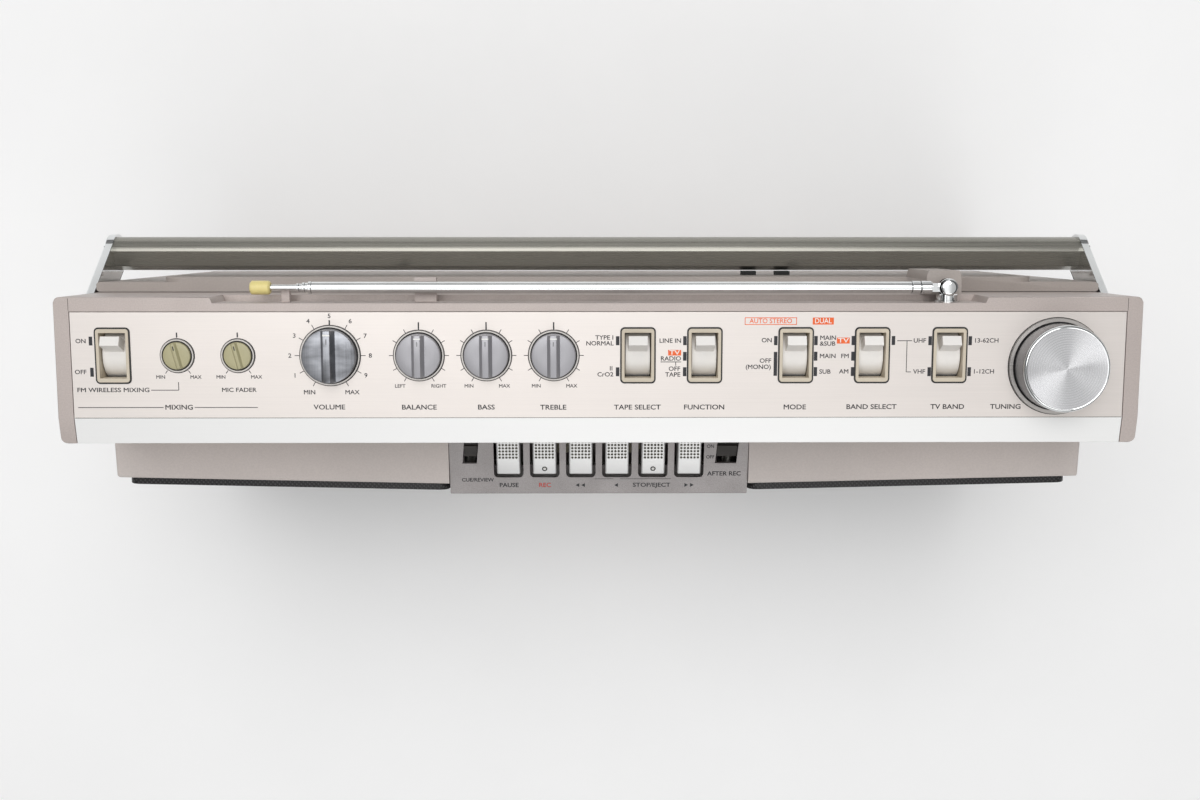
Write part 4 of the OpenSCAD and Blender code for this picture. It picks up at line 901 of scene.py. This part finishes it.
class RADIO_OT_print(bpy.types.Operator):
    """Prints the names, numbers, ticks and position bars on the fascia"""
    bl_idname = "radio.print"
    bl_label = "Fascia print"

    def ticks(self, name, near, far, turns, bold):
        x, y = knob_at(name)
        made = []
        for turn in turns:
            s, c = math.sin(math.radians(turn)), math.cos(math.radians(turn))
            end, width = (far + bold, 1.9) if turn == 0 else (far, 1.0)
            made.append(stroke(x + near * s, y + near * c, x + end * s, y + end * c, TOP + PRINT_LIFT,
                               width * sizes().line_width))
        return made

    def execute(self, context):
        z = TOP + PRINT_LIFT
        big, fine, line = sizes().label_height, sizes().mark_height * 0.86, sizes().line_width
        made = [word(text, x, y, z, big * 0.86 if text == "MIC FADER" else big, stretch=1.18, weight=0.024)
                for text, x, y in PRINT_NAMES]
        for align, marks in PRINT_MARKS.items():
            made += [word(text, x, y, z, fine, align, 1.23 if len(text) > 12 else 1.09, 0.022)
                     for text, x, y in marks]
        for name, left, right, y, gap in (
            ("mixing", "MIN", "MAX", 2.3, 8.7), ("fader", "MIN", "MAX", 2.3, 8.8),
            ("balance", "LEFT", "RIGHT", -2.3, 9.6), ("bass", "MIN", "MAX", -2.3, 8.8),
            ("treble", "MIN", "MAX", -2.3, 8.8),
        ):
            x = knob_at(name)[0]
            made += [word(text, spot, y, z, fine * 0.8, stretch=1.06, weight=0.024)
                     for text, spot in ((left, x - gap), (right, x + gap))]
        made += [stroke(x, y - tall / 2, x, y + tall / 2, z, 1.75 * MM) for x, y, tall in PRINT_BARS]
        made += [stroke(*ends, z, line) for ends in PRINT_LINES]
        made += self.ticks("volume", 15.3, 17.6, range(-150, 151, 30), 0)
        for name in ("balance", "bass", "treble"):
            made += self.ticks(name, 12.6, 14.9, range(-150, 151, 30), 1.7)
        for name in ("mixing", "fader"):
            made += self.ticks(name, 9.0, 10.8, (-145, 0, 145), 0.7)
        attach(joined("fascia_print", made), "control_fascia", "ink")
        patches = [stroke(105.6, 30.0, 116.1, 30.0, z, 3.5 * MM), stroke(33.9, 14.3, 40.4, 14.3, z, 2.8 * MM),
                   stroke(117.8, 20.3, 124.2, 20.3, z, 3.0 * MM),
                   border("label_border", 84.8, 30.0, 25.9, 3.7, 0.1, 0.35, TOP, PRINT_THICK),
                   word("AUTO STEREO", 84.8, 30.0, z, fine * 1.1, stretch=0.96)]
        attach(joined("fascia_orange", patches), "control_fascia", "orange")
        raised = z + 0.02
        paper = [word("DUAL", 110.8, 30.0, raised, fine * 1.16),
                 word("TV", 37.1, 14.3, raised, fine, stretch=1.4),
                 word("TV", 121.0, 20.3, raised, fine * 1.05, stretch=1.4)]
        attach(joined("fascia_reversed", paper), "control_fascia", "white")
        return {"FINISHED"}


# Places on the sloped key panel and on upright faces

BAY_GAP, BAY_PIN, BAY_DEEP = 0.3, 2.5, 40.0
PANEL_BACK = span("key_panel")[1].y
PANEL_TOP = span("key_panel")[1].z


def onto_panel(obj):
    """Lays a piece that was made flat on the key panel's slope; its y runs back and its z off the face."""
    return moved(obj, at(0, PANEL_BACK, PANEL_TOP) @ Matrix.Rotation(SLOPE, 4, "X"))


def stood_up(obj, y):
    """Stands a piece that was made flat upright: its y becomes height and its face looks to the front."""
    return moved(obj, at(0, y, 0) @ about("X", 90))


def pierced(obj, edge, corner):
    """Cuts an eight-sided face in each cell of a selected grid and leaves these faces selected."""
    bpy.ops.mesh.inset(thickness=edge, use_individual=True)
    bpy.ops.mesh.select_mode(type="VERT")
    bpy.ops.mesh.bevel(offset=corner, segments=1, affect="VERTICES")
    bpy.ops.mesh.select_mode(type="FACE")
    bpy.ops.mesh.select_all(action="DESELECT")
    bm = bmesh.from_edit_mesh(obj.data)
    for face in bm.faces:
        face.select_set(len(face.verts) == 8)
    bmesh.update_edit_mesh(obj.data)


def key_x(name):
    low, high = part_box(name + "_key")
    return (low.x + high.x) / 2 / MM


class RADIO_OT_keys(bpy.types.Operator):
    """Rounds the piano keys and sinks a grid of dimples in each, their floors darkened as painted shade"""
    bl_idname = "radio.keys"
    bl_label = "Piano keys"

    def dimpled(self, x, columns, rows, rise):
        """The dimpled plate of one key, flat, in the panel's own frame."""
        pitch = sizes().dimple_pitch
        wide, long = columns * pitch, rows * pitch
        plate = flat("plate", x * MM, -(long / 2 + 1.0 * MM), rise * MM, wide, long, columns, rows)
        for finish in ("key", "pit"):
            plate.data.materials.append(FINISH[finish])
        pierced(plate, pitch * 0.14, pitch * 0.2)
        bpy.ops.mesh.extrude_faces_move(TRANSFORM_OT_shrink_fatten={"value": -0.28 * MM})
        # The sunken dimple floors take the second finish, which is painted shade.
        plate.active_material_index = 1
        bpy.ops.object.material_slot_assign()
        bpy.ops.mesh.select_mode(type="EDGE")
        bpy.ops.mesh.select_all(action="DESELECT")
        bpy.ops.mesh.select_non_manifold(extend=False, use_wire=False, use_multi_face=False,
                                         use_non_contiguous=False, use_verts=False)
        bpy.ops.mesh.extrude_edges_move(TRANSFORM_OT_translate={"value": (0, 0, -0.8 * MM)})
        bpy.ops.mesh.edge_face_add()
        return outward(plate)

    def execute(self, context):
        for name in KEYS:
            node = name + "_key"
            x = key_x(name)
            high = span(node)[1]
            rounded(node, "key", "key_silver", (
                sizes().key_edge, 3, lambda a, b: max(a.y, b.y) < PANEL_BACK - 0.2
                and min(a.z, b.z) > PANEL_TOP - 14 and min(abs(a.x - x), abs(b.x - x)) > 6.4))
            rise = (high.z - PANEL_TOP + 0.06) * math.cos(SLOPE) + 0.34
            plate = onto_panel(self.dimpled(x, 6, 10, rise))
            plate.name = name + "_dimples"
            attach(plate, node, "key")
        return {"FINISHED"}


class RADIO_OT_key_marks(bpy.types.Operator):
    """Sets the ringed markers on the record and stop keys"""
    bl_idname = "radio.key_marks"
    bl_label = "Key markers"

    def execute(self, context):
        nose_run, nose_rise, nose_thick, inward = 8.2, 1.8, 0.8, 3.3
        fall = math.degrees(math.atan2(nose_rise, nose_run) + SLOPE)
        for name in ("record", "stop"):
            x = key_x(name)
            middle = span(name + "_key")[0].y + inward
            height = (PANEL_TOP + (middle - PANEL_BACK) * math.tan(SLOPE) + nose_thick
                      + nose_rise * inward / nose_run)
            for part, radius, tall, finish in (("ring", 1.5, 0.06, "trim"), ("dot", 0.8, 0.09, "white")):
                top = height + tall
                rings = [(radius, height - 0.4), (radius, top - 0.02), (radius - 0.05, top)]
                disc = turned(f"{name}_{part}", rings, x, middle, 24)
                lay_down(disc, x, middle, height, ("X", fall))
                attach(disc, name + "_key", finish)
        return {"FINISHED"}


class RADIO_OT_key_panel(bpy.types.Operator):
    """Rounds the key panel and its slots, and prints the key names"""
    bl_idname = "radio.key_panel"
    bl_label = "Key panel"

    def execute(self, context):
        low, high = span("key_panel")
        slot_end = span("play_key")[0].y
        rounded(
            "key_panel", "deck", "deck_grey",
            (2.4 * MM, 4, lambda a, b: abs(a.z - b.z) > 1 and max(a.y, b.y) < slot_end - 0.5
                and min(a.y, b.y) > slot_end - 4 and max(abs(a.x), abs(b.x)) < 60),
            (1.0 * MM, 3, lambda a, b: abs(a.z - b.z) > 1 and min(a.z, b.z) > high.z - 12
                and min(abs(a.x), abs(b.x)) > 60 and max(abs(a.x), abs(b.x)) < 79
                and max(a.y, b.y) < PANEL_BACK - 6),
            (sizes().trim_edge * 1.4, 2, lambda a, b: max(a.y, b.y) < low.y + 0.1 and (a - b).length > 3))
        z = PRINT_LIFT
        fine = sizes().mark_height
        reach = 36.4
        made = [
            word(label, x, y, z, fine * grow, stretch=wide, weight=0.028) for label, x, y, grow, wide in (
                ("PAUSE", key_x("pause"), -reach, 1.0, 1.08),
                ("STOP/EJECT", key_x("stop") - 0.6, -reach, 0.95, 1.2),
                ("CUE/REVIEW", -68.0, -reach + 3.2, 0.84, 1.06), ("ON", 62.3, -13.2, 0.78, 0.96),
                ("OFF", 62.3, -19.6, 0.78, 0.96), ("AFTER REC", 70.4, -29.6, 1.0, 1.08))]
        for name, turns in (("rewind", (-1.6, 1.6)), ("play", (0,)), ("forward", (-1.6, 1.6))):
            for shift in turns:
                made.append(self.arrow(key_x(name) + shift, -reach, z, 1 if name == "forward" else -1))
        made += [stroke(x0, -32.6, x1, -32.6, z, 0.26 * MM) for x0, x1 in ((-2.4, 8.2), (11.8, 40.6))]
        attach(onto_panel(joined("panel_print", made)), "key_panel", "ink")
        red = onto_panel(word("REC", key_x("record"), -reach, z, fine, stretch=1.08, weight=0.028))
        red.name = "record_print"
        attach(red, "key_panel", "red")
        return {"FINISHED"}

    def arrow(self, x, y, z, way):
        """A printed triangle that points along x."""
        bpy.ops.mesh.primitive_cylinder_add(
            vertices=3, radius=1.35 * MM, depth=PRINT_THICK * MM, location=(x * MM, y * MM, z * MM),
            rotation=(0, 0, math.radians(-90 * way)))
        return added()


class RADIO_OT_slide_switches(bpy.types.Operator):
    """Rounds the two slide switches"""
    bl_idname = "radio.slide_switches"
    bl_label = "Slide switches"

    def execute(self, context):
        for node in ("review_switch", "dubbing_switch"):
            rounded(node, "pocket", "black_trim", (
                sizes().trim_edge * 0.6, 2, lambda a, b: (a - b).length > 1.2))
        return {"FINISHED"}


class RADIO_OT_grilles(bpy.types.Operator):
    """Punches the two speaker grilles and folds their rims"""
    bl_idname = "radio.grilles"
    bl_label = "Speaker grilles"

    def sheet(self, wide, tall, z):
        """The perforated sheet, flat and centred."""
        pitch = sizes().hole_pitch
        columns, rows = round(wide * MM / pitch), round(tall * MM / pitch)
        sheet = flat("sheet", 0, 0, z * MM, wide * MM, tall * MM, columns, rows)
        pierced(sheet, pitch * 0.17, pitch * 0.2)
        bpy.ops.mesh.delete(type="FACE")
        done(sheet)
        wall = sheet.modifiers.new("thickness", "SOLIDIFY")
        wall.thickness = 0.8 * MM
        wall.offset = -1
        bpy.ops.object.modifier_apply(modifier="thickness")
        return sheet

    def execute(self, context):
        for node, side in (("left_grille", -1), ("right_grille", 1)):
            low, high = span(node)
            wide, tall, deep, rim = 180.0, high.z - low.z, 4.2, 6.5
            lean = side * math.asin((high.y - low.y - deep) / wide)
            middle = (low + high) / 2
            wall = border("wall", 0, 0, wide, tall, 6, 1.2, 0, deep)
            soften(wall, 0.5 * MM, 3, lambda a, b: level(a, b, deep))
            face = border("rim", 0, 0, wide - 1.6, tall - 1.6, 5.2, rim, deep - 1.25, 1.2)
            sheet = self.sheet(wide - 2 * rim - 1, tall - 2 * rim - 1, deep - 0.25)
            grille = joined(node + "_punched", [wall, face, sheet])
            turn = Matrix.Rotation(lean, 4, "Z") @ about("X", 90)
            moved(grille, at(middle.x, middle.y + deep / 2, middle.z) @ turn)
            settle(grille, node, "grille")
        return {"FINISHED"}


class RADIO_OT_dial(bpy.types.Operator):
    """Prints the tuning scale behind its window and fits a bright frame round it"""
    bl_idname = "radio.dial"
    bl_label = "Tuning dial"

    def execute(self, context):
        low, high = span("dial_window")
        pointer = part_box("dial_pointer")
        face = pointer[1].y / MM + 0.28
        middle = (low.z + high.z) / 2
        fine = sizes().mark_height
        half, steps, long_tick, short_tick = 128.0, 52, 1.7, 0.9
        first, run = -half + 10, 2 * half - 22
        white, orange = [], []
        rows = (
            (middle + 6.6, "FM", "MHz", ("76", "78", "80", "82", "84", "86", "88", "90"), white),
            (middle + 0.4, "TV", "CH", ("1", "2", "3", "4", "6", "8", "10", "12", "UHF 13", "30", "45", "62"),
             orange),
            (middle - 6.6, "AM", "kHz", ("530", "600", "700", "800", "1000", "1200", "1400", "1600"), white),
        )
        for height, band, unit, marks, layer in rows:
            layer.append(word(band, -half - 4, height, 0, fine * 1.25))
            layer.append(word(unit, half + 4, height, 0, fine * 1.1))
            for index, mark in enumerate(marks):
                layer.append(word(mark, first + run * index / (len(marks) - 1), height, 0, fine * 1.2))
        for foot, way in ((middle + 3.4, 0.6), (middle - 3.2, -0.6)):
            for step in range(steps + 1):
                x = first + run * step / steps
                tall = short_tick if step % 4 else long_tick
                white.append(stroke(x, foot, x, foot + tall * way, 0, 0.25 * MM))
            white.append(stroke(-half + 6, foot, half - 6, foot, 0, 0.22 * MM))
        attach(stood_up(joined("dial_print_white", white), face), "dial_scale", "white")
        attach(stood_up(joined("dial_print_orange", orange), face), "dial_scale", "orange")
        front = span("upper_housing")[0].y
        wide, tall = high.x - low.x - 4, high.z - low.z - 4
        trim = border("dial_trim", 0, middle, wide + 3.2, tall + 3.2, 1.2, 1.5, 0, 0.5)
        attach(stood_up(trim, front), "upper_housing", "chrome")
        coat("dial_scale", "trim")
        coat("dial_window", "window")
        coat("dial_pointer", "orange")
        return {"FINISHED"}


class RADIO_OT_deck(bpy.types.Operator):
    """Rounds the deck's frame and door, and frames the door's window"""
    bl_idname = "radio.deck"
    bl_label = "Cassette deck"

    def execute(self, context):
        edge = sizes().trim_edge
        for node, share in (("deck_frame", 2), ("cassette_door", 1.8)):
            front = span(node)[0].y
            rounded(node, "deck", "deck_grey", (
                edge * share, 3, lambda a, b: max(a.y, b.y) < front + NEAR and (a - b).length > 3))
        coat("door_window", "smoke")
        low, high = span("door_window")
        view = border("window_trim", 0, (low.z + high.z) / 2, 93.0, high.z - low.z + 1.6, 1.5, 1.5, 0, 0.4)
        attach(stood_up(view, front), "cassette_door", "ring")
        for node, finish in (("deck_chassis", "steel"), ("supply_reel", "reel"), ("takeup_reel", "reel"),
                             ("capstan_flywheel", "steel"), ("drive_motor", "steel")):
            coat(node, finish)
        return {"FINISHED"}


class RADIO_OT_handle(bpy.types.Operator):
    """Finishes the grip's facets, rounds the arms, and sets black bars on the pivot screws as painted shade in
    their slots
    """
    bl_idname = "radio.handle"
    bl_label = "Carrying handle"

    def execute(self, context):
        rounded("handle_grip", "grip", "grip_grey", (
            sizes().trim_edge, 2, lambda a, b: (a - b).length > 100))
        arms = skin("handle_arms")
        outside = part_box("handle_arms")[1].x - NEAR * MM
        shaping(arms, "VERT")
        pick_all()
        bpy.ops.mesh.remove_doubles(threshold=0.06 * MM)
        pick_all()
        bpy.ops.mesh.delete_loose(use_verts=True, use_edges=True, use_faces=False)
        for side in (-1, 1):
            pick_faces(arms, lambda middle, normal: normal.x * side > 0.99 and middle.x * side > outside)
            bpy.ops.transform.translate(value=(-side * 0.6 * MM, 0, 0))
            bpy.ops.mesh.inset(thickness=0.2 * MM, depth=0.4 * MM)
            bpy.ops.mesh.inset(thickness=0.4 * MM, depth=0.2 * MM)
        done(arms)
        even_normals(settle(arms, "handle_arms", "chrome"))
        low, high = span("handle_screws")
        y, z = (low.y + high.y) / 2, (low.z + high.z) / 2
        # Painted shade: a black bar on each screw head stands for the shade in its slot.
        slots = []
        for side in (-1, 1):
            ends = sorted((side * (high.x + 0.02), side * (high.x - 0.5)))
            slots.append(box("slot", (ends[0], y - 2.6, z - 0.45), (ends[1], y + 2.6, z + 0.45)))
        coat("handle_screws", "chrome")
        attach(joined("handle_screw_slot_shade", slots), "handle_screws", "trim")
        return {"FINISHED"}


def along_x(obj, y, z):
    """Lays a piece that was turned about the origin's upright axis down: its heights become x."""
    return moved(obj, at(0, y, z) @ about("Y", 90))


def faced_back(obj, x, y, z):
    """Stands a piece that was made flat at the origin upright, with its face to the rear."""
    return moved(obj, at(x, y, z) @ about("Z", 180) @ about("X", 90))


class RADIO_OT_aerial(bpy.types.Operator):
    """Crimps the ends of the aerial's sections, and sets collars beside its elbow, with black bands of painted
    shade in the grooves
    """
    bl_idname = "radio.aerial"
    bl_label = "Aerial"

    def collar(self, name, node, start, end, radius, finish):
        """A ring round the aerial from one x to another, in millimetres."""
        _, y, z = (v / MM for v in JOINTS["aerial_tilt"]["pos_m"])
        edge = min(0.14, (end - start) / 4)
        ring = turned(name, [
            (radius - 0.7, start), (radius - edge, start), (radius, start + edge), (radius, end - edge),
            (radius - edge, end), (radius - 0.7, end)], 0, 0, 40, True)
        attach(along_x(ring, y, z), node, finish)

    def execute(self, context):
        for node, crimp in (("aerial_tube", 1.4), ("aerial_section_2", 1.1), ("aerial_section_3", 1.1)):
            low, high = span(node)
            r = (high.z - low.z) / 2
            self.collar(node + "_crimp", node, low.x, low.x + crimp, r + 0.14, "chrome")
            # Painted shade: a black band beside each crimp stands for the shade in a groove.
            self.collar(node + "_groove", node, low.x + crimp, low.x + crimp + 0.4, r + 0.03, "trim")
        tube_r = 3.0
        # The thin black collars between the chrome ones are painted shade in grooves.
        for index, (start, end, grow, finish) in enumerate((
            (156.6, 157.1, 0.03, "trim"), (157.1, 161.2, 0.3, "chrome"), (161.2, 161.8, 0.03, "trim"),
            (161.8, 166.6, 0.38, "chrome"),
        )):
            self.collar(f"aerial_collar_{index}", "aerial_tube", start, end, tube_r + grow, finish)
        end = span("aerial_swivel")[1].y
        rounded("aerial_swivel", "chrome", "chrome", (0.9 * MM, 4, lambda a, b: min(a.y, b.y) > end - NEAR))
        x, y, _ = (v / MM for v in JOINTS["aerial_tilt"]["pos_m"])
        top = span("aerial_swivel")[1].z
        dome = turned("aerial_dome", [
            (4.1, top - 0.3), (4.05, top + 0.1), (3.6, top + 0.45), (2.6, top + 0.7), (1.2, top + 0.8),
            (0.3, top + 0.82)], x, y, 40)
        attach(dome, "aerial_swivel", "chrome")
        return {"FINISHED"}


class RADIO_OT_back(bpy.types.Operator):
    """Finishes the rear: ribs on the battery door, ringed sockets with names, screws with black crosses of
    painted shade in their slots, and feet
    """
    bl_idname = "radio.back"
    bl_label = "Rear details"

    def execute(self, context):
        wall = span("battery_door")[1].y
        rounded("battery_door", "rear", "cabinet_taupe", (
            sizes().trim_edge, 2, lambda a, b: min(a.y, b.y) > wall - NEAR and (a - b).length > 20))
        ribs = []
        first, pitch, thick, half = 67.0, 2.4, 1.2, 24
        for step in range(6):
            z = first + step * pitch
            rib = box("rib", (-half, wall - 0.3, z), (half, wall + 0.55, z + thick))
            ribs.append(soften(rib, 0.35 * MM, 3, lambda a, b: min(a.y, b.y) > wall + 0.5))
        attach(joined("battery_door_ribs", ribs), "battery_door", "rear")
        mark = faced_back(word("OPEN", 0, 0, 0, sizes().mark_height), 0, wall + 0.01, 62.4)
        mark.name = "battery_door_print"
        attach(mark, "battery_door", "ink")
        rings, names = [], []
        low, high = span("socket_panel")
        middle = (low.z + high.z) / 2
        for x, text in ((160, "PHONES"), (176, "MIC"), (192, "LINE IN"), (208, "LINE OUT"), (228, "AC IN")):
            if text != "AC IN":
                ring = turned("nut", [
                    (1.9, -0.2), (1.9, 0.25), (2.2, 0.45), (4.0, 0.45), (4.4, 0.15), (4.4, -0.2),
                ], 0, 0, 32, True)
                rings.append(faced_back(ring, x, high.y, middle))
            label = word(text, 0, 0, 0, sizes().mark_height * 0.74)
            names.append(faced_back(label, x, high.y + 0.01, high.z - 3.0))
        attach(joined("socket_nuts", rings), "socket_panel", "chrome")
        attach(joined("socket_names", names), "socket_panel", "white")
        # Painted shade: a black cross on each screw head stands for the shade in its cross slot.
        crosses = []
        for x, z in ((-255, 20), (255, 20), (-255, 190), (255, 190), (-110.5, 192), (110.5, 192)):
            crosses += [box("slot", (x - wide, wall - 0.4, z - tall), (x + wide, wall + lift, z + tall))
                        for wide, tall, lift in ((1.8, 0.32, 0.03), (0.32, 1.8, 0.04))]
        attach(joined("cabinet_screw_slot_shade", crosses), "cabinet_screws", "trim")
        feet = skin("rubber_feet")
        soften(feet, 0.6 * MM, 3, lambda a, b: max(a.z, b.z) < NEAR)
        settle(feet, "rubber_feet", "rubber")
        return {"FINISHED"}


class RADIO_OT_battery_bay(bpy.types.Operator):
    """Sets ribs, contact plates and wound springs in the battery compartment"""
    bl_idname = "radio.battery_bay"
    bl_label = "Battery compartment"

    def contact(self, x, y, z, way, wound):
        """A contact plate on an end wall, with a spring or a raised nib that points along x."""
        plate = box("contact", (-9, -9, -0.2), (9, 9, 0.5))
        soften(plate, 2.0 * MM, 3, lambda a, b: abs(a.z - b.z) > 0.5)
        if wound:
            bpy.ops.mesh.primitive_circle_add(
                vertices=10, radius=0.55 * MM, location=(6.2 * MM, 0, 0.8 * MM),
                rotation=(math.radians(90), 0, 0))
            tip = added()
            wind = tip.modifiers.new("wind", "SCREW")
            wind.screw_offset = 2.3 * MM
            wind.iterations = 4
            wind.steps = wind.render_steps = 28
            bpy.ops.object.modifier_apply(modifier="wind")
            shaping(tip, "EDGE")
            pick_all()
            bpy.ops.mesh.fill_holes(sides=0)
            bpy.ops.mesh.normals_make_consistent(inside=False)
            done(tip)
        else:
            tip = turned("nib", [(4.6, 0.3), (4.6, 1.2), (4.0, 1.7), (2.0, 1.9), (0.4, 1.9)], 0, 0, 32)
        return moved(joined("contact", [plate, tip]), at(x, y, z) @ about("Y", 90 * way))

    def execute(self, context):
        low, high = span("battery_door")
        half, front = high.x - BAY_PIN + BAY_GAP, high.y - BAY_DEEP
        floor, roof = low.z - BAY_GAP, high.z + BAY_GAP
        rows = (floor + (roof - floor) * 0.25, floor + (roof - floor) * 0.75)
        middle = front + 18.5
        pieces = [self.contact(way * -half, middle, z, way, (way > 0) == (z == rows[0]))
                  for z in rows for way in (1, -1)]
        attach(joined("battery_contacts", pieces), "rear_cabinet", "steel")
        ribs = [box("rib", (x - 0.8, front - 0.3, floor - 0.2), (x + 0.8, front + 5, roof + 0.2))
                for x in (-64, 0, 64)]
        shelf = (floor + roof) / 2
        ribs.append(box("shelf", (-half - 0.2, front - 0.3, shelf - 0.8),
                        (half + 0.2, front + 12, shelf + 0.8)))
        for rib in ribs:
            soften(rib, 0.4 * MM, 2, lambda a, b: min(a.y, b.y) > front + 4)
        attach(joined("battery_ribs", ribs), "rear_cabinet", "rear")
        return {"FINISHED"}


class RADIO_OT_carried(bpy.types.Operator):
    """Gives each CAD node that keeps its shape a finish of its own"""
    bl_idname = "radio.carried"
    bl_label = "Carried-over nodes"

    def execute(self, context):
        for node, finish in (
            ("woofer_frames", "frame"), ("woofer_cones", "cone"), ("tweeters", "frame"),
            ("control_board", "board"), ("power_transformer", "steel"), ("socket_panel", "trim"),
            ("cabinet_screws", "steel"), ("aerial_bush", "chrome"), ("aerial_tube", "chrome"),
            ("aerial_section_2", "chrome"), ("aerial_section_3", "chrome"), ("aerial_rod", "chrome"),
            ("aerial_tip", "cream"),
        ):
            coat(node, finish)
        return {"FINISHED"}


class RADIO_OT_stage(bpy.types.Operator):
    """Sets the floor, the soft lights, the sky and the camera"""
    bl_idname = "radio.stage"
    bl_label = "Stage"

    def lamp(self, name, place, aim, side, power):
        bpy.ops.object.light_add(type="AREA", location=place)
        lamp = bpy.context.active_object
        lamp.name = name
        lamp.data.shape = "RECTANGLE"
        lamp.data.size, lamp.data.size_y = side
        lamp.data.energy = power
        lamp.rotation_euler = (Vector(aim) - Vector(place)).to_track_quat("-Z", "Y").to_euler()

    def sky(self):
        world = bpy.data.worlds.new("studio_sky")
        bpy.context.scene.world = world
        world.use_nodes = True
        ground = world.node_tree.nodes["Background"]
        parts = step_of(ground, "SeparateXYZ", Vector=step_of(ground, "TexCoord").outputs["Generated"])
        tone = ramp(parts.outputs["Z"], (
            (0.0, 0.3), (0.2, 0.4), (0.44, 0.9), (0.52, 0.16), (0.70, 0.16), (0.78, 1.1), (0.97, 1.0)))
        aside = step_of(ground, "Math")
        aside.operation = "ABSOLUTE"
        feed(aside, 0, parts.outputs["X"])
        sides = ramp(aside.outputs["Value"], ((0.16, 1.0), (0.34, 0.5), (0.8, 0.3)))
        tone = blended(1.0, tone, sides, "MULTIPLY")
        seen = step_of(ground, "LightPath").outputs["Is Camera Ray"]
        feed(ground, "Color", blended(seen, tone, (0.78, 0.78, 0.785, 1)))
        feed(ground, "Strength", 1.2)

    def execute(self, context):
        floor_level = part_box("rubber_feet")[0].z
        bpy.ops.mesh.primitive_plane_add(size=9, location=(0, 0, floor_level))
        floor = added("floor")
        pale = moulded("floor_pale", srgb(254, 254, 254), 40, 0.7, 0.02, 0.99, 0.0, 0.997)
        floor.data.materials.append(pale)
        self.lamp("key_light", (-0.25, 0.8, 1.95), (0, 0, 0.25), (1.9, 1.5), 19.5)
        self.lamp("fill_light", (0.35, -1.25, 1.5), (0, 0, 0.2), (1.2, 1.0), 4.5)
        self.sky()
        eye = bpy.data.cameras.new("photo_camera")
        camera = bpy.data.objects.new("photo_camera", eye)
        bpy.context.scene.collection.objects.link(camera)
        eye.lens, eye.sensor_width = 39.0, 36.0
        eye.clip_start = 0.02
        place = Matrix.Translation((-0.0056, 0.072, 0.920))
        camera.matrix_world = place @ about("Y", -0.5) @ about("X", -7.2)
        bpy.context.scene.camera = camera
        bpy.context.scene.view_settings.view_transform = "Standard"
        return {"FINISHED"}


PIECES = (
    RADIO_OT_shells, RADIO_OT_housing, RADIO_OT_fascia, RADIO_OT_levers,
    RADIO_OT_knob_seats, RADIO_OT_bar_knobs, RADIO_OT_tuning_knob, RADIO_OT_print,
    RADIO_OT_keys, RADIO_OT_key_marks, RADIO_OT_key_panel, RADIO_OT_slide_switches,
    RADIO_OT_grilles, RADIO_OT_dial, RADIO_OT_deck, RADIO_OT_handle,
    RADIO_OT_aerial, RADIO_OT_back, RADIO_OT_battery_bay, RADIO_OT_carried,
    RADIO_OT_stage,
)


class RADIO_PT_sidebar(bpy.types.Panel):
    """Lists the pieces and the sizes and colours that they are made from"""
    bl_idname = "RADIO_PT_sidebar"
    bl_label = "Radio cassette player"
    bl_space_type = "VIEW_3D"
    bl_region_type = "UI"
    bl_category = "Radio"

    def draw(self, context):
        column = self.layout.column()
        for group in (context.scene.radio_sizes, context.scene.radio_colours):
            for name in group.__annotations__:
                column.prop(group, name)
        for piece in PIECES:
            column.operator(piece.bl_idname)


CLASSES = (RadioSizes, RadioColours, *PIECES, RADIO_PT_sidebar)


def register():
    for cls in CLASSES:
        bpy.utils.register_class(cls)
    bpy.types.Scene.radio_sizes = bpy.props.PointerProperty(type=RadioSizes)
    bpy.types.Scene.radio_colours = bpy.props.PointerProperty(type=RadioColours)


def unregister():
    del bpy.types.Scene.radio_colours
    del bpy.types.Scene.radio_sizes
    for cls in reversed(CLASSES):
        bpy.utils.unregister_class(cls)


def main():
    register()
    mix_finishes()
    for piece in PIECES:
        family, name = piece.bl_idname.split(".")
        getattr(getattr(bpy.ops, family), name)()


if __name__ == "__main__":
    main()
